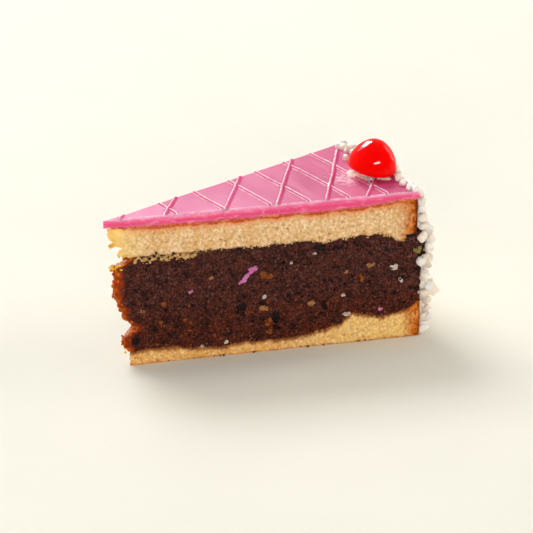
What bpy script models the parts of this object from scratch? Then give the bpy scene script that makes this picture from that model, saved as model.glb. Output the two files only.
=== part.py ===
"""One slice of a punch cake.

From the board up: a thin lower sponge, a thick dark punch filling, an upper sponge, a seam of
jam and a sheet of icing with a lattice of icing threads.  The round side carries a coat of nut
nibs that turns over the top rim, and a glace cherry sits in a dab of cream near that rim.

The slice is first laid out round the axis of the whole cake, which runs up through the tip:
a radius r, an angle a from the middle of the slice and a height z.  `seat` then moves it so
that the origin is the middle of the base.
"""

import math

import bmesh
import bpy
from mathutils import Matrix, Vector, noise

# Whole cake and slice
CAKE_RADIUS = 0.1250
CAKE_HEIGHT = 0.0607
SLICE_ANGLE = math.radians(28.8)
HALF_ANGLE = SLICE_ANGLE / 2
TIP_TO_ORIGIN = 0.0661
GAP = 0.0003

# Rows of the common grid that the layers share, so that their faces run parallel
FIRST_STATION = 0.0145
LAST_STATION = 0.1205
STATION_ROWS = 26
ACROSS_ROWS = 4

# Icing sheet and jam
ICING_TIP = 0.0010
ICING_THICKNESS = 0.0034
ICING_SAG = 0.0009
ICING_WAVE = 0.00022
ICING_SHOULDER = 0.0011
TIP_NARROWING = 0.6
JAM_THICKNESS = 0.0008
JAM_TIP = 0.0032

# Icing threads: where each crosses the middle line, and its lean (x gained for each y)
THREAD_RADIUS = 0.00060
THREAD_RISE = 0.00015
OVERLAP_RISE = 0.00030
THREAD_STEP = 0.0090
THREAD_PROBE = 0.0004
THREAD_SIDES = 6
THREAD_WANDER = 0.00035
THREAD_EDGE_INSET = 0.0008
THREAD_RIM_LIMIT = 0.1182
CROSS_STATIONS = (0.0070, 0.0275, 0.0453, 0.0632, 0.0777, 0.0930, 0.1074)
CROSS_LEAN = -0.070
DIAGONAL_STATIONS = (0.0082, 0.0283, 0.0555, 0.0785, 0.1004, 0.1226)
DIAGONAL_LEANS = (0.90, 0.857, 0.772, 0.714, 0.687, 0.830)

# Upper sponge: height of its underside, which dips close to the rim
UPPER_UNDERSIDE = 0.0438
UPPER_DIP = 0.0022
UPPER_DIP_RADIUS = 0.1175
UPPER_DIP_WIDTH = 0.0042
UPPER_RIM = 0.1246
UPPER_TIP = ((0.0430, 0.0105), (0.0460, 0.0052), (0.0478, 0.0078), (0.0500, 0.0026), (0.0525, 0.0017))

# Punch filling: height of its underside, which climbs on to the thicker rim of the lower sponge
LOWER_TOP = 0.0052
LOWER_STEP = 0.0060
LOWER_STEP_FROM = 0.0840
LOWER_STEP_TO = 0.0990
LOWER_FLARE = 0.0034
LOWER_FLARE_FROM = 0.1150
FILLING_RIM = 0.1262
FILLING_TIP = (
    (0.0040, 0.0128), (0.0095, 0.0076), (0.0152, 0.0118), (0.0200, 0.0076),
    (0.0270, 0.0047), (0.0345, 0.0037), (0.0400, 0.0042), (0.0430, 0.0108),
)

# Lower sponge
LOWER_RIM = 0.1262
LOWER_TIP = 0.0096

# Unevenness of the cut and torn faces
SPONGE_RELIEF = 0.00018
FILLING_RELIEF = 0.00045
RELIEF_GRAIN = 190.0

# Coat of nibs: inner face that follows the cake's side, and outer face with its lumps
COAT_ARC_ROWS = 28
COAT_WALL_ROWS = 25
COAT_BORDER_ROWS = 6
COAT_WALL_RADIUS = 0.1291
COAT_STEP_HEIGHT = 0.0452
COAT_UPPER_INNER = 0.1256
COAT_BORDER_INNER = 0.1194
COAT_BORDER_HEIGHT = 0.0028
NIB_BULGE = 0.0020

# Glace cherry and the cream under it
CHERRY_X = 0.1137
CHERRY_Y = -0.0068
CHERRY_FOOT_HEIGHT = 0.06245
CHERRY_HEIGHT = 0.0133
CHERRY_RADIUS = 0.00983
CHERRY_FOOT_SHARE = 0.41
CHERRY_BULGE_SHARE = 0.172
CHERRY_TAPER = 1.133
CHERRY_TILT = math.radians(11.2)
CHERRY_TILT_ANGLE = math.radians(151)
CHERRY_LOW_ROWS = 4
CHERRY_HIGH_ROWS = 9
CHERRY_SIDES = 22
DAB_RADIUS = 0.0052
DAB_SMEAR = 0.0052
DAB_SMEAR_ANGLE = math.radians(145)
DAB_SMEAR_SPREAD = math.radians(38)
DAB_TAIL = 0.0042
DAB_TAIL_ANGLE = math.radians(-62)
DAB_TAIL_SPREAD = math.radians(15)
DAB_HEIGHT = 0.0036
DAB_SIDES = 26
DAB_CLEARANCE = 0.0006


def clear_scene():
    """Remove what the scene holds."""
    for item in list(bpy.data.objects):
        bpy.data.objects.remove(item, do_unlink=True)


def finish(name, colour, roughness, metallic=0.0):
    """Make a plain Principled finish."""
    material = bpy.data.materials.new(name)
    material.use_nodes = True
    shader = material.node_tree.nodes["Principled BSDF"]
    shader.inputs["Base Color"].default_value = (*colour, 1.0)
    shader.inputs["Roughness"].default_value = roughness
    shader.inputs["Metallic"].default_value = metallic
    return material


def ease(value, start, end):
    """Rise smoothly from 0 at start to 1 at end."""
    share = min(max((value - start) / (end - start), 0.0), 1.0)
    return share * share * (3 - 2 * share)


def bell(value, centre, width):
    """A bump of height 1 round centre."""
    return math.exp(-(((value - centre) / width) ** 2))


def bell_round(angle, centre, width):
    """A bump of height 1 round an angle, which wraps after a full turn."""
    away = (angle - centre + math.pi) % (2 * math.pi) - math.pi
    return math.exp(-((away / width) ** 2))


def eased_profile(points, height):
    """Read a profile of (height, radius) points with an eased run between them."""
    if height <= points[0][0]:
        return points[0][1]
    for (z_0, r_0), (z_1, r_1) in zip(points, points[1:]):
        if height <= z_1:
            return r_0 + (r_1 - r_0) * ease(height, z_0, z_1)
    return points[-1][1]


def grain(r, angle, z, shift=0.0):
    """Smooth unevenness between -1 and 1, the same wherever it is read."""
    spot = Vector((r * math.cos(angle), r * math.sin(angle), z)) * RELIEF_GRAIN
    return noise.noise(spot + Vector((shift, 0.0, 0.0)))


def seat(r, angle, z):
    """Place a point of the cake in the slice's own frame."""
    return Vector((r * math.cos(angle) - TIP_TO_ORIGIN, r * math.sin(angle), z))


def icing_top(r, angle):
    """Height of the icing's gently waved top."""
    return CAKE_HEIGHT + ICING_WAVE * noise.noise(Vector((r * 40, angle * 3, 0.4)))


def icing_underside(r, angle):
    """Height of the icing's underside, thickest two thirds of the way to the rim."""
    sag = ICING_SAG * math.sin(math.pi * min(r / 0.132, 1.0) ** 1.3)
    return CAKE_HEIGHT - ICING_THICKNESS - sag


def jam_top(r, angle):
    """Height of the jam's upper face."""
    return icing_underside(r, angle) - GAP


def jam_underside(r, angle):
    """Height of the jam's lower face."""
    return jam_top(r, angle) - JAM_THICKNESS


def upper_sponge_top(r, angle):
    """Height of the upper sponge's top."""
    return jam_underside(r, angle) - GAP


def upper_sponge_underside(r, angle):
    """Height of the upper sponge's underside, with its dip near the rim."""
    wave = 0.0005 * noise.noise(Vector((r * 45, angle * 4, 3.1)))
    return UPPER_UNDERSIDE + wave - UPPER_DIP * bell(r, UPPER_DIP_RADIUS, UPPER_DIP_WIDTH)


def filling_top(r, angle):
    """Height of the filling's top."""
    return upper_sponge_underside(r, angle) - GAP


def lower_sponge_top(r, angle):
    """Height of the lower sponge's top: level, then a step up, then a flare at the rim."""
    wave = 0.0005 * noise.noise(Vector((r * 45, angle * 4, 7.7)))
    step = LOWER_STEP * ease(r, LOWER_STEP_FROM, LOWER_STEP_TO)
    flare = LOWER_FLARE * ease(r, LOWER_FLARE_FROM, FILLING_RIM)
    return LOWER_TOP + wave + step + flare


def filling_underside(r, angle):
    """Height of the filling's underside."""
    return lower_sponge_top(r, angle) + GAP


def board_level(r, angle):
    """Height of the flat base."""
    return 0.0


def stations(inner, outer):
    """Radii of a layer's rows: the common rows, with the layer's own ends."""
    pitch = (LAST_STATION - FIRST_STATION) / STATION_ROWS
    common = [FIRST_STATION + pitch * row for row in range(STATION_ROWS + 1)]
    return [inner, (inner + common[0]) / 2] + common + [(common[-1] + outer) / 2, outer]


def add_patch(bm, grid, flip):
    """Cover a grid of vertices with triangles whose diagonals all run the same way."""
    for row, next_row in zip(grid, grid[1:]):
        for a, b, c, d in zip(row, row[1:], next_row[1:], next_row):
            for corners in ((a, b, c), (a, c, d)):
                if len(set(corners)) == 3:
                    bm.faces.new(reversed(corners) if flip else corners)


def new_object(name, bm, material, smooth=True):
    """Turn a finished bmesh into a named object."""
    mesh = bpy.data.meshes.new(name)
    bm.to_mesh(mesh)
    bm.free()
    mesh.materials.append(material)
    if smooth:
        mesh.shade_smooth()
        mesh.set_sharp_from_angle(angle=math.radians(50))
    item = bpy.data.objects.new(name, mesh)
    bpy.context.scene.collection.objects.link(item)
    return item


def layer(name, under, over, tip, rim, rows_up, relief, material, shoulder=0.0):
    """Make one layer of the slice.

    under and over give its heights, tip and rim its inner and outer radius at a height.
    relief is the unevenness of its open faces, shoulder the rounding of its top edge.
    """
    bm = bmesh.new()
    made = {}
    last_i = STATION_ROWS + 4
    last_j = ACROSS_ROWS
    last_k = rows_up

    def vertex(i, j, k):
        """The layer's vertex at row i outwards, j across and k up, made once."""
        if (i, j, k) not in made:
            share = k / last_k
            side = 2 * j / last_j - 1
            angle = side * HALF_ANGLE
            middle = (under(0.06, angle) + over(0.06, angle)) / 2
            radii = stations(tip(middle), rim(middle))
            z = under(radii[i], angle) + share * (over(radii[i], angle) - under(radii[i], angle))
            inset = shoulder * (1 - math.sqrt(1 - share**4))
            torn = relief * 2.2 * grain(0.0, angle, z, 5.0)
            radii = stations(tip(z) + inset + torn, rim(z) - inset)
            r = radii[i]
            lower = under(r, angle)
            z = lower + share * (over(r, angle) - lower)
            half = HALF_ANGLE - min(inset / r, TIP_NARROWING * HALF_ANGLE)
            if abs(side) == 1:
                half += relief * grain(r, angle, z) / r
            angle = side * half
            made[i, j, k] = bm.verts.new(seat(r, angle, z))
        return made[i, j, k]

    def patch(rows, columns, place, flip):
        """Cover one face of the layer."""
        grid = [[vertex(*place(row, column)) for column in range(columns + 1)] for row in range(rows + 1)]
        add_patch(bm, grid, flip)

    patch(last_i, last_j, lambda i, j: (i, j, last_k), flip=False)
    patch(last_i, last_j, lambda i, j: (i, j, 0), flip=True)
    patch(last_i, last_k, lambda i, k: (i, 0, k), flip=True)
    patch(last_i, last_k, lambda i, k: (i, last_j, k), flip=False)
    patch(last_j, last_k, lambda j, k: (0, j, k), flip=False)
    patch(last_j, last_k, lambda j, k: (last_i, j, k), flip=True)
    bmesh.ops.recalc_face_normals(bm, faces=bm.faces)
    return new_object(name, bm, material)


def bare_icing(x, y):
    """Whether a spot on the icing is clear of the cream and of the border of nibs."""
    out_x, out_y = x - CHERRY_X, y - CHERRY_Y
    clear_of_cream = math.hypot(out_x, out_y) > dab_reach(math.atan2(out_y, out_x)) + DAB_CLEARANCE
    return clear_of_cream and math.hypot(x, y) < THREAD_RIM_LIMIT


def thread_point(station, lean, y):
    """Where an icing thread lies at a distance y from the middle line."""
    wander = THREAD_WANDER * noise.noise(Vector((y * 90, station * 300, 1.7)))
    return station + lean * y + wander, y


def thread_runs(station, lean):
    """Bare stretches of one icing thread between the two cuts, as (first y, last y)."""
    slope = math.tan(HALF_ANGLE)
    near_y = -slope * station / (1 + lean * slope) + THREAD_EDGE_INSET
    far_y = slope * station / (1 - lean * slope) - THREAD_EDGE_INSET
    steps = max(2, math.ceil((far_y - near_y) / THREAD_PROBE))
    runs = [[]]
    for step in range(steps + 1):
        y = near_y + (far_y - near_y) * step / steps
        if bare_icing(*thread_point(station, lean, y)):
            runs[-1].append(y)
        elif runs[-1]:
            runs.append([])
    return [(run[0], run[-1]) for run in runs if len(run) > 1]


def thread_mesh(station, lean, run, rise, name, material):
    """Carry a round section along one stretch of an icing thread."""
    first_y, last_y = run
    steps = max(1, round((last_y - first_y) * math.hypot(1, lean) / THREAD_STEP))
    sideways = Vector((1.0, -lean, 0.0)).normalized()
    bm = bmesh.new()
    rings = []
    for step in range(steps + 1):
        x, y = thread_point(station, lean, first_y + (last_y - first_y) * step / steps)
        r, angle = math.hypot(x, y), math.atan2(y, x)
        centre = seat(r, angle, icing_top(r, angle) + rise)
        ring = []
        for side in range(THREAD_SIDES):
            turn = 2 * math.pi * (side + 0.5) / THREAD_SIDES
            offset = sideways * math.cos(turn) + Vector((0.0, 0.0, math.sin(turn)))
            ring.append(bm.verts.new(centre + offset * THREAD_RADIUS))
        rings.append(ring)
    for ring, next_ring in zip(rings, rings[1:]):
        add_patch(bm, [ring + ring[:1], next_ring + next_ring[:1]], flip=False)
    bm.faces.new(rings[0])
    bm.faces.new(reversed(rings[-1]))
    bmesh.ops.recalc_face_normals(bm, faces=bm.faces)
    return new_object(name, bm, material, smooth=False)


def as_guide(item):
    """Mark an object as a guide that another piece is built with."""
    item.hide_render = True
    item.display_type = "WIRE"
    return item


def boolean(item, other, operation):
    """Join another object to a piece, or cut it out of the piece."""
    modifier = item.modifiers.new(operation.title(), "BOOLEAN")
    modifier.operation = operation
    modifier.solver = "EXACT"
    modifier.object = other
    return modifier


def icing_sheet(material):
    """The sheet of icing with its lattice of threads melted on."""
    sheet = layer(
        "icing_sheet", icing_underside, icing_top,
        tip=lambda z: ICING_TIP, rim=lambda z: CAKE_RADIUS,
        rows_up=3, relief=SPONGE_RELIEF, material=material, shoulder=ICING_SHOULDER,
    )
    lattice = [(station, CROSS_LEAN, THREAD_RISE) for station in CROSS_STATIONS]
    lattice += [
        (station, lean, THREAD_RISE + OVERLAP_RISE)
        for station, lean in zip(DIAGONAL_STATIONS, DIAGONAL_LEANS)
    ]
    for count, (station, lean, rise) in enumerate(lattice):
        for part, run in enumerate(thread_runs(station, lean)):
            thread = thread_mesh(station, lean, run, rise, f"thread_{count}_{part}", material)
            boolean(sheet, as_guide(thread), "UNION")
    return sheet


def coat_inner_profile():
    """Inner face of the coat, from the base up the cake's side and on to the icing."""
    return [
        (FILLING_RIM + GAP, 0.0),
        (FILLING_RIM + GAP, COAT_STEP_HEIGHT),
        (COAT_UPPER_INNER, COAT_STEP_HEIGHT + 0.0012),
        (COAT_UPPER_INNER, CAKE_HEIGHT + 0.0006),
        (COAT_BORDER_INNER, CAKE_HEIGHT + 0.0006),
    ]


def coat_outer_profile():
    """Outer face of the coat, from the border's inner edge over the rim and down the wall."""
    top = CAKE_HEIGHT + COAT_BORDER_HEIGHT
    middle = (COAT_BORDER_INNER + COAT_WALL_RADIUS) / 2
    half = (COAT_WALL_RADIUS - COAT_BORDER_INNER) / 2
    points = []
    for row in range(COAT_BORDER_ROWS):
        turn = math.pi - math.pi * (row + 0.7) / COAT_BORDER_ROWS * 0.86
        points.append((middle + half * math.cos(turn), top - COAT_BORDER_HEIGHT * (1 - math.sin(turn))))
    start = points[-1][1]
    for row in range(COAT_WALL_ROWS + 1):
        points.append((COAT_WALL_RADIUS, start * (1 - (row + 0.6) / (COAT_WALL_ROWS + 0.6))))
    return points


def nib_lump(row, column):
    """Height of the coat's face at one grid point: a nib's crown or the hollow between nibs.

    The nibs sit in staggered rows, each a little larger or smaller than the next.
    """
    size = 0.5 + 0.5 * noise.noise(Vector((row * 1.37, column * 1.73, 9.1)))
    if row % 2 and (column + row // 2) % 2:
        return NIB_BULGE * (0.45 + 0.9 * size)
    return NIB_BULGE * (0.35 * size - 0.25)


def rim_coat(material):
    """The coat of nibs on the round side and over the top rim, out to its lumpy outline."""
    inner = coat_inner_profile()
    outer = coat_outer_profile()
    bm = bmesh.new()
    loops = []
    for row in range(COAT_ARC_ROWS + 1):
        angle = HALF_ANGLE * (2 * row / COAT_ARC_ROWS - 1)
        loop = [bm.verts.new(seat(r, angle, z)) for r, z in inner]
        for column, (r, z) in enumerate(outer):
            lump = nib_lump(row, column)
            over_rim = ease(z, CAKE_HEIGHT - 0.002, CAKE_HEIGHT + 0.002)
            height = 0.0 if column == len(outer) - 1 else z + over_rim * lump
            loop.append(bm.verts.new(seat(r + (1 - 0.7 * over_rim) * lump, angle, height)))
        loops.append(loop + loop[:1])
    add_patch(bm, loops, flip=False)
    bm.faces.new(loops[0][:-1])
    bm.faces.new(reversed(loops[-1][:-1]))
    bmesh.ops.recalc_face_normals(bm, faces=bm.faces)
    bmesh.ops.triangulate(bm, faces=bm.faces)
    return new_object("rim_coat", bm, material)


def cherry_profile(swell):
    """Half outline of the cherry from the edge of its flat foot to just under its top.

    The side bulges out over the foot in a quarter turn and tapers to the top, as (radius, height).
    """
    radius = CHERRY_RADIUS + swell
    height = CHERRY_HEIGHT + 2 * swell
    bulge = CHERRY_BULGE_SHARE * height
    points = []
    for row in range(CHERRY_LOW_ROWS):
        turn = math.pi / 2 * row / CHERRY_LOW_ROWS
        inset = (1 - CHERRY_FOOT_SHARE) * (1 - math.sin(turn))
        points.append((radius * (1 - inset), bulge * (1 - math.cos(turn))))
    for row in range(CHERRY_HIGH_ROWS):
        turn = math.pi / 2 * row / CHERRY_HIGH_ROWS
        rise = (height - bulge) * math.sin(turn) ** CHERRY_TAPER
        points.append((radius * math.cos(turn) ** CHERRY_TAPER, bulge + rise))
    return points


def cherry_mesh(name, swell, material):
    """A plump cherry on its flattened foot, tilted on the cream, made larger all round by swell."""
    bm = bmesh.new()
    foot = Vector((CHERRY_X - TIP_TO_ORIGIN, CHERRY_Y, CHERRY_FOOT_HEIGHT - swell))
    hinge = Vector((-math.sin(CHERRY_TILT_ANGLE), math.cos(CHERRY_TILT_ANGLE), 0.0))
    lean = Matrix.Rotation(-CHERRY_TILT, 3, hinge)

    def vertex(radius, turn, height):
        """A point of the cherry's skin, tilted with it."""
        spot = Vector((radius * math.cos(turn), radius * math.sin(turn), height))
        return bm.verts.new(foot + lean @ spot)

    turns = [2 * math.pi * side / CHERRY_SIDES for side in range(CHERRY_SIDES)]
    bottom = vertex(0.0, 0.0, 0.0)
    rings = [[vertex(radius, turn, height) for turn in turns] for radius, height in cherry_profile(swell)]
    top = vertex(0.0, 0.0, CHERRY_HEIGHT + 2 * swell)
    add_patch(bm, [ring + ring[:1] for ring in rings], flip=False)
    add_patch(bm, [[bottom] * (CHERRY_SIDES + 1), rings[0] + rings[0][:1]], flip=False)
    add_patch(bm, [rings[-1] + rings[-1][:1], [top] * (CHERRY_SIDES + 1)], flip=False)
    bmesh.ops.recalc_face_normals(bm, faces=bm.faces)
    return new_object(name, bm, material)


def dab_reach(turn):
    """How far the cream runs out from under the cherry in one direction."""
    smear = DAB_SMEAR * bell_round(turn, DAB_SMEAR_ANGLE, DAB_SMEAR_SPREAD)
    tail = DAB_TAIL * bell_round(turn, DAB_TAIL_ANGLE, DAB_TAIL_SPREAD)
    ragged = 0.0007 * noise.noise(Vector((math.cos(turn) * 3, math.sin(turn) * 3, 0.2)))
    return DAB_RADIUS + smear + tail + ragged


def cherry_dab(material):
    """The ragged dab of cream that holds the cherry."""
    bm = bmesh.new()
    shells = ((1.0, 0.0), (0.96, 0.25), (0.75, 0.72), (0.40, 1.0))
    rings = []
    for share, height in shells:
        ring = []
        for side in range(DAB_SIDES):
            turn = 2 * math.pi * side / DAB_SIDES
            x = CHERRY_X + share * dab_reach(turn) * math.cos(turn)
            y = CHERRY_Y + share * dab_reach(turn) * math.sin(turn)
            r, angle = math.hypot(x, y), math.atan2(y, x)
            ring.append(bm.verts.new(seat(r, angle, icing_top(r, angle) + GAP + height * DAB_HEIGHT)))
        rings.append(ring)
    add_patch(bm, [ring + ring[:1] for ring in rings], flip=False)
    bm.faces.new(rings[0])
    bm.faces.new(reversed(rings[-1]))
    bmesh.ops.recalc_face_normals(bm, faces=bm.faces)
    bmesh.ops.triangulate(bm, faces=bm.faces)
    return new_object("cherry_dab", bm, material)


def build():
    """Make every piece of the slice."""
    clear_scene()
    pink = finish("pink_icing", (0.78, 0.21, 0.38), 0.30)
    jam = finish("red_jam", (0.45, 0.07, 0.02), 0.30)
    crumb = finish("yellow_sponge", (0.72, 0.44, 0.18), 0.90)
    punch = finish("punch_filling", (0.060, 0.019, 0.011), 0.75)
    nibs = finish("nut_nibs", (0.86, 0.80, 0.72), 0.60)
    red = finish("cherry_red", (0.80, 0.004, 0.004), 0.08)
    cream = finish("cream", (0.80, 0.72, 0.62), 0.45)

    icing_sheet(pink)
    layer(
        "jam_layer", jam_underside, jam_top,
        tip=lambda z: JAM_TIP, rim=lambda z: UPPER_RIM - 0.0004,
        rows_up=1, relief=0.0, material=jam,
    )
    layer(
        "upper_sponge", upper_sponge_underside, upper_sponge_top,
        tip=lambda z: eased_profile(UPPER_TIP, z), rim=lambda z: UPPER_RIM,
        rows_up=5, relief=SPONGE_RELIEF, material=crumb,
    )
    layer(
        "punch_filling", filling_underside, filling_top,
        tip=lambda z: eased_profile(FILLING_TIP, z), rim=lambda z: FILLING_RIM,
        rows_up=9, relief=FILLING_RELIEF, material=punch,
    )
    layer(
        "lower_sponge", board_level, lower_sponge_top,
        tip=lambda z: LOWER_TIP, rim=lambda z: LOWER_RIM,
        rows_up=2, relief=SPONGE_RELIEF, material=crumb,
    )
    cherry_mesh("glace_cherry", 0.0, red)
    hollow = as_guide(cherry_mesh("cherry_hollow", GAP, red))
    boolean(cherry_dab(cream), hollow, "DIFFERENCE")
    boolean(rim_coat(nibs), hollow, "DIFFERENCE")


build()
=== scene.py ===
"""Looks of one slice of punch cake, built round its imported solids.

The slice is laid out round the axis of the whole cake, which runs up through the tip: a point
has a radius r from that axis, an angle from the slice's middle line and a height z.  Each layer
is a closed surface worked out with numpy, with its crumb as real relief, and every finish is
procedural.
"""

from __future__ import annotations

import logging
import math
from dataclasses import astuple, dataclass, replace
from enum import Enum
from functools import partialmethod
from typing import Callable, Sequence

import bpy
import numpy as np
from mathutils import Matrix, Vector

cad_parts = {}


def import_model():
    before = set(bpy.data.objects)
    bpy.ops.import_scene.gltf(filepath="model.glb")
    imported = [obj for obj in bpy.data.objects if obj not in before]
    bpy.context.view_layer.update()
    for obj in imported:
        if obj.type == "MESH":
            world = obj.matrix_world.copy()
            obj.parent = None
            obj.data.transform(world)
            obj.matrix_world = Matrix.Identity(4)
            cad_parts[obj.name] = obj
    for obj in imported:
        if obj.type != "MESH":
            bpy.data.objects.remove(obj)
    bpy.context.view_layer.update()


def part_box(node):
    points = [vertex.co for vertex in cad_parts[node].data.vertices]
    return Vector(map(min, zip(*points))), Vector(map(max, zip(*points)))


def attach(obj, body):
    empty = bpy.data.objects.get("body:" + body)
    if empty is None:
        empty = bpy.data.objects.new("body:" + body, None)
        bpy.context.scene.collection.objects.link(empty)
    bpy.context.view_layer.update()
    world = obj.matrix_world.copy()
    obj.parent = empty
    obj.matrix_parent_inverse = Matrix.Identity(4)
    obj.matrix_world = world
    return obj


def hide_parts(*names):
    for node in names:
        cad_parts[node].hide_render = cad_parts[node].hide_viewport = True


LOG = logging.getLogger("punch_cake")
BODY = "root"
MM = 0.001
HALF_ANGLE = math.radians(14.4)
CAKE_RADIUS = 125 * MM
SLICE_MIDDLE = 40 * MM
ICING_TIP = 1.0 * MM

EVEN = (1.0, 1.0, 1.0)

Array = np.ndarray
Triple = tuple[float, float, float]
Colour = Triple
Span = tuple[float, float]
Curve = tuple[Span, ...]
Height = Callable[[Array, Array], Array]
Marks = dict[str, Array]
Generator = np.random.Generator
Material = bpy.types.Material
Object = bpy.types.Object


# ---- colour and small maths


def paint(red: float, green: float, blue: float) -> Colour:
    """Turn a screen colour in steps of 0 to 255 into linear light.

    Args:
        red: red step.
        green: green step.
        blue: blue step.

    Returns:
        The linear colour, each channel raised to about the 2.2nd power.
    """
    steps = np.array((red, green, blue)) / 255
    linear = np.where(steps <= 0.04045, steps / 12.92, ((steps + 0.055) / 1.055) ** 2.4)
    return tuple(float(channel) for channel in linear)


def ease(value: Array | float, start: float, end: float) -> Array | float:
    """Rise from 0 at start to 1 at end along 3t^2 - 2t^3."""
    share = np.clip((value - start) / (end - start), 0.0, 1.0)
    return share * share * (3 - 2 * share)


def bell(value: Array | float, centre: float, width: float) -> Array | float:
    """A bump of height 1 at centre, exp(-((v - c) / w)^2)."""
    return np.exp(-(((value - centre) / width) ** 2))


def eased_curve(value: Array, points: Curve) -> Array:
    """Read a curve through a few points, with an eased run between neighbours.

    Args:
        value: where to read it.
        points: (place, level) pairs in rising order of place.

    Returns:
        The level at each place, held level beyond both ends.
    """
    places, levels = np.array(points, dtype=float).T
    index = np.clip(np.searchsorted(places, value) - 1, 0, len(places) - 2)
    share = ease(value, places[index], places[index + 1])
    return levels[index] + (levels[index + 1] - levels[index]) * share


# ---- unevenness


class Grain:
    """Unevenness worked out on whole arrays of points, the same on every run."""

    @staticmethod
    def scatter(corner: Array, seed: int) -> Array:
        """Give every whole-number corner a value of its own by mixing its bits.

        Args:
            corner: corners, shape (..., 3).
            seed: picks another pattern.

        Returns:
            Values between 0 and 1, shape (...).
        """
        whole = corner.astype(np.int64) * (374761393, 668265263, 2147483629)
        mixed = (whole.sum(axis=-1) + seed * 1013904223) & 0xFFFFFFFF
        mixed = ((mixed ^ (mixed >> 13)) * 1274126177) & 0xFFFFFFFF
        mixed = ((mixed ^ (mixed >> 16)) * 2246822519) & 0xFFFFFFFF
        return ((mixed ^ (mixed >> 15)) & 0xFFFFFF) / float(0xFFFFFF)

    @classmethod
    def smooth(cls, points: Array, cell: float, seed: int = 0) -> Array:
        """Blend the eight corners round each point with eased weights.

        Args:
            points: places, shape (..., 3).
            cell: size of one lump, in metres.
            seed: picks another pattern.

        Returns:
            Values between -1 and 1, shape (...).
        """
        scaled = points / cell
        corner = np.floor(scaled)
        share = ease(scaled - corner, 0.0, 1.0)
        total = np.zeros(points.shape[:-1])
        for step in np.ndindex(2, 2, 2):
            weight = np.abs(1 - np.array(step) - share).prod(axis=-1)
            total += weight * cls.scatter(corner + step, seed)
        return 2 * total - 1

    @classmethod
    def rough(cls, points: Array, cell: float, octaves: int = 3, seed: int = 0) -> Array:
        """Add ever finer smooth unevenness, each half the size and half the height of the last.

        Args:
            points: places, shape (..., 3).
            cell: size of the largest lumps, in metres.
            octaves: how many sizes to add.
            seed: picks another pattern.

        Returns:
            Values between -1 and 1, shape (...).
        """
        weights = 0.5 ** np.arange(octaves)
        layers = [
            weight * cls.smooth(points, cell * weight, seed + octave)
            for octave, weight in enumerate(weights)
        ]
        return sum(layers) / weights.sum()

    @classmethod
    def cells(cls, points: Array, cell: float, seed: int = 0) -> tuple[Array, Array, Array]:
        """Find the nearest of the points strewn one to a cell.

        Args:
            points: places, shape (..., 3).
            cell: size of a cell, in metres.
            seed: picks another pattern.

        Returns:
            Distance to the nearest strewn point and to the second nearest, both in cells, and
            a value between 0 and 1 that belongs to the nearest.
        """
        scaled = points / cell
        corner = np.floor(scaled) - 1
        nearest = np.full(points.shape[:-1], 9.0)
        second = nearest.copy()
        tone = np.zeros(points.shape[:-1])
        for step in np.ndindex(3, 3, 3):
            place = corner + step
            strewn = np.stack([cls.scatter(place, seed + axis) for axis in (1, 2, 3)], axis=-1)
            away = np.linalg.norm(place + strewn - scaled, axis=-1)
            closer = away < nearest
            second = np.where(closer, nearest, np.minimum(second, away))
            nearest = np.where(closer, away, nearest)
            tone = np.where(closer, cls.scatter(place, seed + 4), tone)
        return nearest, second, tone


# ---- meshes


def build_mesh(
    name: str, vertices: Array, faces: Sequence[Array], attributes: Marks | None = None
) -> Object:
    """Put arrays into a mesh object that sits at the origin, with its faces outwards.

    The faces are turned round as a whole if the volume they enclose comes out negative.

    Args:
        name: name of the piece.
        vertices: places, shape (count, 3).
        faces: blocks of faces, each of shape (count, corners).
        attributes: a number per vertex for each name.

    Returns:
        The new object, linked to the scene.
    """
    volume = 0.0
    for block in faces:
        for corner in range(1, block.shape[1] - 1):
            a, b, c = (vertices[block[:, i]] for i in (0, corner, corner + 1))
            volume += float(np.einsum("ij,ij->i", a, np.cross(b, c)).sum())
    blocks = [block[:, ::-1] if volume < 0 else block for block in faces]
    loops = np.concatenate([block.ravel() for block in blocks]).astype(np.int32)
    totals = np.concatenate([np.full(len(block), block.shape[1]) for block in blocks])
    starts = np.concatenate(([0], np.cumsum(totals)[:-1])).astype(np.int32)
    mesh = bpy.data.meshes.new(name)
    mesh.vertices.add(len(vertices))
    mesh.vertices.foreach_set("co", vertices.astype(np.float32).ravel())
    mesh.loops.add(len(loops))
    mesh.loops.foreach_set("vertex_index", loops)
    mesh.polygons.add(len(starts))
    mesh.polygons.foreach_set("loop_start", starts)
    mesh.update(calc_edges=True)
    mesh.validate()
    mesh.shade_smooth()
    for label, values in (attributes or {}).items():
        layer = mesh.attributes.new(label, "FLOAT", "POINT")
        layer.data.foreach_set("value", values.astype(np.float32).ravel())
    item = bpy.data.objects.new(name, mesh)
    bpy.context.scene.collection.objects.link(item)
    return item


def ring_faces(rings: int, columns: int) -> Array:
    """Join neighbouring closed rings of vertices with four-sided faces.

    Args:
        rings: number of rings.
        columns: vertices in each ring.

    Returns:
        Vertex indices, shape ((rings - 1) * columns, 4).
    """
    row = np.arange(rings - 1)[:, None] * columns
    here = np.arange(columns)[None, :]
    beyond = (here + 1) % columns
    above = row + columns
    quads = np.stack((row + here, row + beyond, above + beyond, above + here), axis=-1)
    return quads.reshape(-1, 4)


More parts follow.
